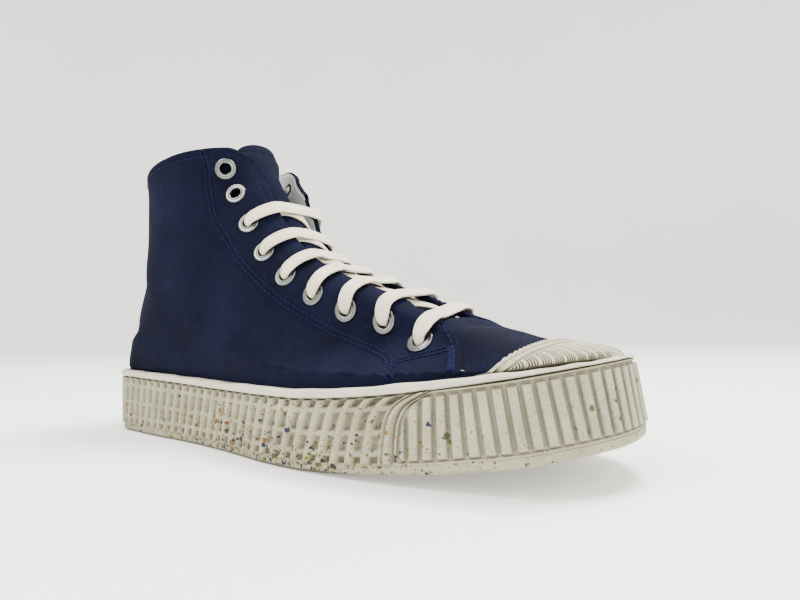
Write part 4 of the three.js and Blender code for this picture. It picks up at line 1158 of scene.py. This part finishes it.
def edge_crossing(side, i):
    """Where the plane through both eyelets, square to the throat, meets the facing's edge."""
    near, far = EYELETS["lateral"][i], EYELETS["medial"][i]
    across = unit(far["point"] - near["point"])
    up = last_normal("lateral", (near["t"] + far["t"]) / 2, 1.0)
    square = unit(np.cross(across, up))
    rows = np.linspace(max(4.1, near["t"] - 2), min(14.8, near["t"] + 2), 161)
    edges = edge_share(side, rows)
    away = np.abs((last_point(side, rows, edges) - near["point"]) @ square)
    k = int(np.argmin(away))
    return float(rows[k]), float(edges[k])


OVER_FACING = ((0.45, 3.0), (0.8, 2.5), (1.0, 2.2))
OVER_TONGUE = 2.6
RUN_UNDER_FACING = 3.5
RUN_OVER_TONGUE = 3.1
TUCKED_WIDTHS = (0.5, 0.52, 0.6, 0.8, 0.97)


def bar_route(i):
    """Out of the near eyelet, over its facing's edge, across the tongue and into the far eyelet."""
    sides = []
    for side in SIGN:
        place = EYELETS[side][i]
        t, a = place["t"], place["a"]
        t_edge, edge = edge_crossing(side, i)
        inward = unit(last_point(side, t_edge, edge) - place["point"])
        normal = place["normal"]
        rows = [
            (place["point"] - normal * 6.5 - inward * 1.5, unit(normal * 0.3 - inward)),
            (place["point"] - normal * 2.5 - inward * 1.2, unit(normal * 0.4 - inward)),
            (place["point"] + normal * 1.0 - inward * 0.4, unit(normal * 0.6 - inward)),
            (place["point"] + normal * 2.9 + inward * 1.4, unit(normal - inward * 0.5)),
        ]
        for share, off in OVER_FACING:
            row, at = t + (t_edge - t) * share, a + (edge - a) * share
            rows.append((last_offset(side, row, at, off), last_normal(side, row, at)))
        sides.append(rows)
    first, second = sides[0][-1][0], sides[1][-1][0]
    middle = (first + second) / 2
    t = (EYELETS["lateral"][i]["t"] + EYELETS["medial"][i]["t"]) / 2
    crest, up = on_last("lateral", t, 0, OVER_TONGUE - TONGUE_DEPTH, True)
    height = max(0.0, float((crest - middle) @ up))
    span = []
    for share in (0.25, 0.5, 0.75):
        point = first + (second - first) * share + up * height * math.sin(math.pi * share) ** 0.8
        span.append((point, up))
    rows = sides[0] + span + sides[1][::-1]
    points = np.array([row[0] for row in rows])
    ups = np.array([row[1] for row in rows])
    widths = np.ones(len(rows))
    for k, width in enumerate(TUCKED_WIDTHS):
        widths[k] = widths[-1 - k] = width
    return points, ups, widths


def run_route(i):
    """Slanting run inside: from behind one facing, over the tongue, to behind the other."""
    near, far = EYELETS["lateral"][i], EYELETS["medial"][i + 1]
    rows = []
    for share in np.linspace(0, 1, 9):
        t = near["t"] + (far["t"] - near["t"]) * share
        side = "lateral" if share < 0.5 else "medial"
        reach = float(gap_at(side, t)) + 5
        width = abs(2 * share - 1) * reach
        covered = width > float(gap_at(side, t)) - 2
        rows.append(on_last(side, t, width, -RUN_UNDER_FACING if covered else -RUN_OVER_TONGUE, True))
    points = np.array([row[0] for row in rows])
    ups = np.array([row[1] for row in rows])
    return points, ups, np.ones(len(rows))


def tape(cloth, points, ups, widths):
    """Flat woven tape with rounded edges and ribs along it."""
    lengths = np.concatenate([[0], np.cumsum(np.linalg.norm(np.diff(points, axis=0), axis=-1))])
    even = np.linspace(0, lengths[-1], max(20, int(lengths[-1] / 0.9)))
    centre = np.stack([curve_through(lengths, points[:, k])(even) for k in range(3)], -1)
    up = unit(np.stack([curve_through(lengths, ups[:, k])(even) for k in range(3)], -1))
    width = curve_through(lengths, widths)(even) * size_mm("lace_width")
    ahead = unit(np.gradient(centre, axis=0))
    wide = unit(np.cross(ahead, up))
    thick = np.cross(wide, ahead)
    angle = np.linspace(0, 2 * math.pi, 49)[:-1]
    across = np.sign(np.cos(angle)) * np.abs(np.cos(angle)) ** 0.45
    over = np.sign(np.sin(angle)) * np.abs(np.sin(angle)) ** 0.75
    ribs = 1 + 0.24 * np.cos(across * math.pi * 5)
    bulge = (size_mm("lace_width") / width) ** 0.5
    rings = (
        centre[:, None]
        + wide[:, None] * (across[None, :] * width[:, None] / 2)[..., None]
        + thick[:, None] * (over * ribs * (size_mm("lace_thickness") / 2) * bulge[:, None])[..., None]
    )
    cloth.grid(rings, closed=True, flip=True)


def build_eyelets(side):
    """Pressed rings: a rolled flange outside and the barrel through the cloth."""
    cloth = Cloth()
    profile = [(2.9, -3.4), (2.95, 0.1), (3.05, 0.7), (3.3, 1.0), (3.65, 1.0), (4.0, 0.75), (4.4, 0.7),
               (4.9, 0.85), (5.35, 0.75), (5.6, 0.35), (5.5, 0.1), (3.4, 0.0)]
    for place in EYELETS[side]:
        normal = place["normal"]
        first = unit(np.cross(normal, np.array([0.3, 0.2, 1.0])))
        second = np.cross(normal, first)
        angles = np.linspace(0, 2 * math.pi, 41)[:-1]
        ring = first * np.cos(angles)[:, None] + second * np.sin(angles)[:, None]
        rows = [place["point"] + ring * radius + normal * (height + 0.35) for radius, height in profile]
        cloth.grid(np.stack(rows), closed=True)
    piece = cloth.build(f"eyelets_{side}", [look("eyelet")], weld=0.001, recalc=True)
    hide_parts(*[f"eyelet_{side}_{i + 1}" for i in range(EYELET_COUNT)])
    return piece


def stitch_row(cloth, route, side, shift, off, length, pitch):
    """A row of stitches along a route of (t, a)."""
    places, outward = seam_points(route, side, pitch, shift, off)
    stitches(cloth, places, outward, length)


def stitches(cloth, places, outward, length):
    """Short threads laid end to end, each sunk at both ends."""
    ahead = unit(np.gradient(places, axis=0))
    for point, normal, run in zip(places, outward, ahead):
        wide = np.cross(normal, run)
        rows = []
        for share, radius in ((-0.5, 0.1), (-0.36, 0.28), (0, 0.33), (0.36, 0.28), (0.5, 0.1)):
            centre = point + run * share * length - normal * (0.35 * (2 * share) ** 2)
            rows.append([centre + (wide * math.cos(angle) + normal * math.sin(angle)) * radius
                         for angle in (k * math.pi / 3 for k in range(6))])
        cloth.grid(np.array(rows), closed=True)


FRONT_SEAM = [(4.84, 0.398), (4.48, 0.431), (4.26, 0.457), (4.06, 0.486)]


def collar_line(side, below):
    """Points of the collar's surface a length below its top edge."""
    rows = np.linspace(12.5, COLLAR_ROW, 90)
    places, outward = [], []
    top_edge = float(edge_share(side, np.array(15.0)))
    for a in np.linspace(0.02, 0.62 if side == "medial" else 0.9, 60) * top_edge:
        t = bent(rows, a)
        line = last_point(side, t, a)
        steps = np.linalg.norm(np.diff(line, axis=0), axis=-1)
        gone = np.concatenate([np.cumsum(steps[::-1])[::-1], [0]])
        place = float(np.interp(-below, -gone, t))
        places.append(last_point(side, place, a))
        outward.append(last_normal(side, place, a))
    places, outward = np.array(places), np.array(outward)
    lengths = np.concatenate([[0], np.cumsum(np.linalg.norm(np.diff(places, axis=0), axis=-1))])
    even = np.arange(0, lengths[-1], size_mm("stitch_pitch"))
    point, normal = (
        np.stack([np.interp(even, lengths, values[:, k]) for k in range(3)], -1)
        for values in (places, outward))
    return point + normal * 0.15, unit(normal)


FACING_ROW = 2.2


def build_stitching():
    """Double rows along the eyestay and front seam, one along collar and facing, a bar at the front."""
    cloth = Cloth()
    length, pitch = size_mm("stitch_length"), size_mm("stitch_pitch")
    for side in SIGN:
        for shift in (-ROW_APART, ROW_APART):
            stay = EYESTAY_SEAM if side == "lateral" else EYESTAY_SEAM[2:]
            stitch_row(cloth, stay, side, shift, 0.2, length, pitch)
            stitch_row(cloth, FRONT_SEAM, side, shift, 0.25, length * 0.8, pitch * 0.8)
        front_t = np.linspace(13.8 if side == "lateral" else 11.5, 4.9, 24)
        facing_a = share_at_width(side, front_t, gap_at(side, front_t) + FACING_ROW)
        facing = list(zip(front_t, facing_a))
        stitch_row(cloth, facing, side, 0, 0.3, length, pitch)
        stitches(cloth, *collar_line(side, 3.4), length)
        shares = np.linspace(0.08, 0.8, 16)
        edge = [(float(bent(np.array(4.14), np.array(a))), a) for a in shares]
        stitch_row(cloth, edge, side, 0, 0.2, length, pitch)
        bar = [(float(bent(np.array(4.2), np.array(a))), a) for a in np.linspace(0.36, 0.5, 5)]
        for shift in (-0.9, -0.3, 0.3, 0.9):
            stitch_row(cloth, bar, side, shift, 0.35, length * 0.6, pitch * 0.5)
    piece = cloth.build("seam_stitches", [look("thread")], weld=0)
    return piece


def build_outsole():
    """The ground strip and tread keep their solid, in trodden rubber."""
    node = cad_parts["outsole"]
    for slot in node.material_slots:
        slot.material = look("strip")


def build_insole():
    """The insole keeps its solid, in the lining's cotton."""
    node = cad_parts["insole"]
    for slot in node.material_slots:
        slot.material = look("lining")


# Camera, in the frame's metres, and the way it looks

CAMERA_PLACE = (0.29385, -0.21635, 0.05570)
CAMERA_YAW = 2.1517
CAMERA_PITCH = 0.0538
CAMERA_ROLL = -0.0163
CAMERA_LENS = 24.975


def build_camera():
    """Camera at the photo's height and angle."""
    data = bpy.data.cameras.new("photo_camera")
    data.lens = CAMERA_LENS
    data.sensor_width = 36
    data.clip_start = 0.01
    camera = bpy.data.objects.new("photo_camera", data)
    bpy.context.scene.collection.objects.link(camera)
    cos_p, sin_p = math.cos(CAMERA_PITCH), math.sin(CAMERA_PITCH)
    ahead = Vector((cos_p * math.cos(CAMERA_YAW), cos_p * math.sin(CAMERA_YAW), sin_p))
    right = Vector((math.sin(CAMERA_YAW), -math.cos(CAMERA_YAW), 0))
    up = right.cross(ahead)
    turned_right = right * math.cos(CAMERA_ROLL) + up * math.sin(CAMERA_ROLL)
    turned_up = up * math.cos(CAMERA_ROLL) - right * math.sin(CAMERA_ROLL)
    rotation = Matrix((turned_right, turned_up, -ahead)).transposed().to_4x4()
    camera.matrix_world = Matrix.Translation(CAMERA_PLACE) @ rotation
    bpy.context.scene.camera = camera


def area_light(name, place, target, size, power, colour=(1, 1, 1)):
    """Soft box turned to a target."""
    data = bpy.data.lights.new(name, "AREA")
    data.shape = "RECTANGLE"
    data.size, data.size_y = size
    data.energy = power
    data.color = colour
    light = bpy.data.objects.new(name, data)
    bpy.context.scene.collection.objects.link(light)
    light.location = place
    light.rotation_euler = (Vector(target) - Vector(place)).to_track_quat("-Z", "Y").to_euler()


FLOOR_RADIUS = 2.2
SWEEP_RADIUS = 1.1
SWEEP_TOP = 3.2
FLOOR_SIDES = 64


def build_floor():
    """Pale sweep: a flat floor that curves up far behind."""
    material, tree, shader = new_material("pale painted board")
    place = place_of(tree)
    tree.links.new(
        ramp(tree, noise(tree, place, 400, 2), [(0.3, linear("f4f4f1")), (0.7, linear("f8f8f5"))]),
        shader.inputs["Base Color"],
    )
    shader.inputs["Roughness"].default_value = 0.6
    shader.inputs["Emission Color"].default_value = linear("fbfaf5")
    shader.inputs["Emission Strength"].default_value = 0.45
    profile = [(0.6, 0.0), (1.4, 0.0), (FLOOR_RADIUS, 0.0)]
    bends = [k * math.pi / 24 for k in range(1, 13)]
    profile += [
        (FLOOR_RADIUS + SWEEP_RADIUS * math.sin(bend), SWEEP_RADIUS * (1 - math.cos(bend))) for bend in bends]
    profile.append((FLOOR_RADIUS + SWEEP_RADIUS, SWEEP_TOP))
    turns = [k * 2 * math.pi / FLOOR_SIDES for k in range(FLOOR_SIDES)]
    work = bmesh.new()
    rings = []
    for radius, height in profile:
        rings.append([
            work.verts.new((radius * math.cos(turn), radius * math.sin(turn), height)) for turn in turns])
    work.faces.new(rings[0])
    for low, high in zip(rings, rings[1:]):
        for k in range(FLOOR_SIDES):
            after = (k + 1) % FLOOR_SIDES
            work.faces.new((low[k], high[k], high[after], low[after]))
    for face in work.faces:
        face.smooth = True
    mesh = bpy.data.meshes.new("floor")
    work.to_mesh(mesh)
    work.free()
    mesh.materials.append(material)
    floor = bpy.data.objects.new("floor", mesh)
    bpy.context.scene.collection.objects.link(floor)
    floor.location = (0, 0, -0.0002)


def build_light():
    """A pale room with three large soft boxes, for low and even shadows."""
    world = bpy.data.worlds.new("pale_room")
    world.use_nodes = True
    background = world.node_tree.nodes["Background"]
    background.inputs["Color"].default_value = linear("f2f3f2")
    background.inputs["Strength"].default_value = 1.0
    bpy.context.scene.world = world
    area_light("key", (-0.25, -0.75, 1.25), (0.08, 0, 0.05), (0.45, 0.45), 18)
    area_light("fill", (1.1, -0.5, 0.7), (0.1, 0, 0.05), (0.9, 0.9), 9)
    area_light("top", (0.35, 0.35, 1.2), (0.1, 0, 0.05), (0.5, 0.5), 36)


def length_property(name, description, default_mm):
    return bpy.props.FloatProperty(
        name=name, description=description, default=default_mm / 1000, min=0, precision=5,
        subtype="DISTANCE", unit="LENGTH")


class SneakerSizes(bpy.types.PropertyGroup):
    lace_width: length_property("Lace width", "Width of the flat lace", 7.4)
    lace_thickness: length_property("Lace thickness", "Thickness of the flat lace", 1.5)
    bar_pitch: length_property("Bar pitch", "Spacing of the lattice bars", 7.0)
    rib_pitch: length_property("Rib pitch", "Spacing of the toe ribs", 5.25)
    stitch_pitch: length_property("Stitch pitch", "Spacing of the stitches", 3.1)
    stitch_length: length_property("Stitch length", "Length of one stitch", 2.5)


class SNEAKER_OT_stage(bpy.types.Operator):
    """Sets the camera, the pale floor and the soft lights"""
    bl_idname = "sneaker.stage"
    bl_label = "Stage"

    def execute(self, context):
        build_camera()
        build_floor()
        build_light()
        return {"FINISHED"}


class SNEAKER_OT_lace(bpy.types.Operator):
    """Runs the flat cotton lace through the eyelets"""
    bl_idname = "sneaker.lace"
    bl_label = "Lace"

    def execute(self, context):
        build_lace()
        return {"FINISHED"}


class SNEAKER_OT_upper(bpy.types.Operator):
    """Makes the creased canvas upper with its lining"""
    bl_idname = "sneaker.upper"
    bl_label = "Upper"

    def execute(self, context):
        build_upper()
        return {"FINISHED"}


class SNEAKER_OT_tongue(bpy.types.Operator):
    """Makes the canvas tongue"""
    bl_idname = "sneaker.tongue"
    bl_label = "Tongue"

    def execute(self, context):
        build_tongue()
        return {"FINISHED"}


class SNEAKER_OT_stitching(bpy.types.Operator):
    """Lays the stitches along the seams"""
    bl_idname = "sneaker.stitching"
    bl_label = "Stitching"

    def execute(self, context):
        build_stitching()
        return {"FINISHED"}


class SNEAKER_OT_eyelets(bpy.types.Operator):
    """Presses the metal eyelets into both facings"""
    bl_idname = "sneaker.eyelets"
    bl_label = "Eyelets"

    def execute(self, context):
        for side in SIGN:
            build_eyelets(side)
        return {"FINISHED"}


class SNEAKER_OT_foxing(bpy.types.Operator):
    """Moulds the lattice band, the toe bumper, the welt tape and the toe cap"""
    bl_idname = "sneaker.foxing"
    bl_label = "Foxing"

    def execute(self, context):
        build_lattice()
        build_bumper()
        build_welt()
        build_cap()
        return {"FINISHED"}


class SNEAKER_OT_bottom(bpy.types.Operator):
    """Gives the outsole and the insole their materials"""
    bl_idname = "sneaker.bottom"
    bl_label = "Outsole and insole"

    def execute(self, context):
        build_outsole()
        build_insole()
        return {"FINISHED"}


class SNEAKER_PT_panel(bpy.types.Panel):
    """Lists the steps that build the sneaker"""
    bl_idname = "SNEAKER_PT_panel"
    bl_label = "Sneaker"
    bl_space_type = "VIEW_3D"
    bl_region_type = "UI"
    bl_category = "Sneaker"

    def draw(self, context):
        for step in STEPS:
            self.layout.operator(step.bl_idname)


STEPS = (
    SNEAKER_OT_stage, SNEAKER_OT_upper, SNEAKER_OT_tongue, SNEAKER_OT_foxing, SNEAKER_OT_bottom,
    SNEAKER_OT_eyelets, SNEAKER_OT_lace, SNEAKER_OT_stitching,
)
CLASSES = (SneakerSizes, *STEPS, SNEAKER_PT_panel)


def register():
    for item in CLASSES:
        bpy.utils.register_class(item)
    bpy.types.Scene.sneaker = bpy.props.PointerProperty(type=SneakerSizes)


def unregister():
    del bpy.types.Scene.sneaker
    for item in reversed(CLASSES):
        bpy.utils.unregister_class(item)


def main():
    register()
    for step in STEPS:
        group, name = step.bl_idname.split(".")
        getattr(getattr(bpy.ops, group), name)()


if __name__ == "__main__":
    main()
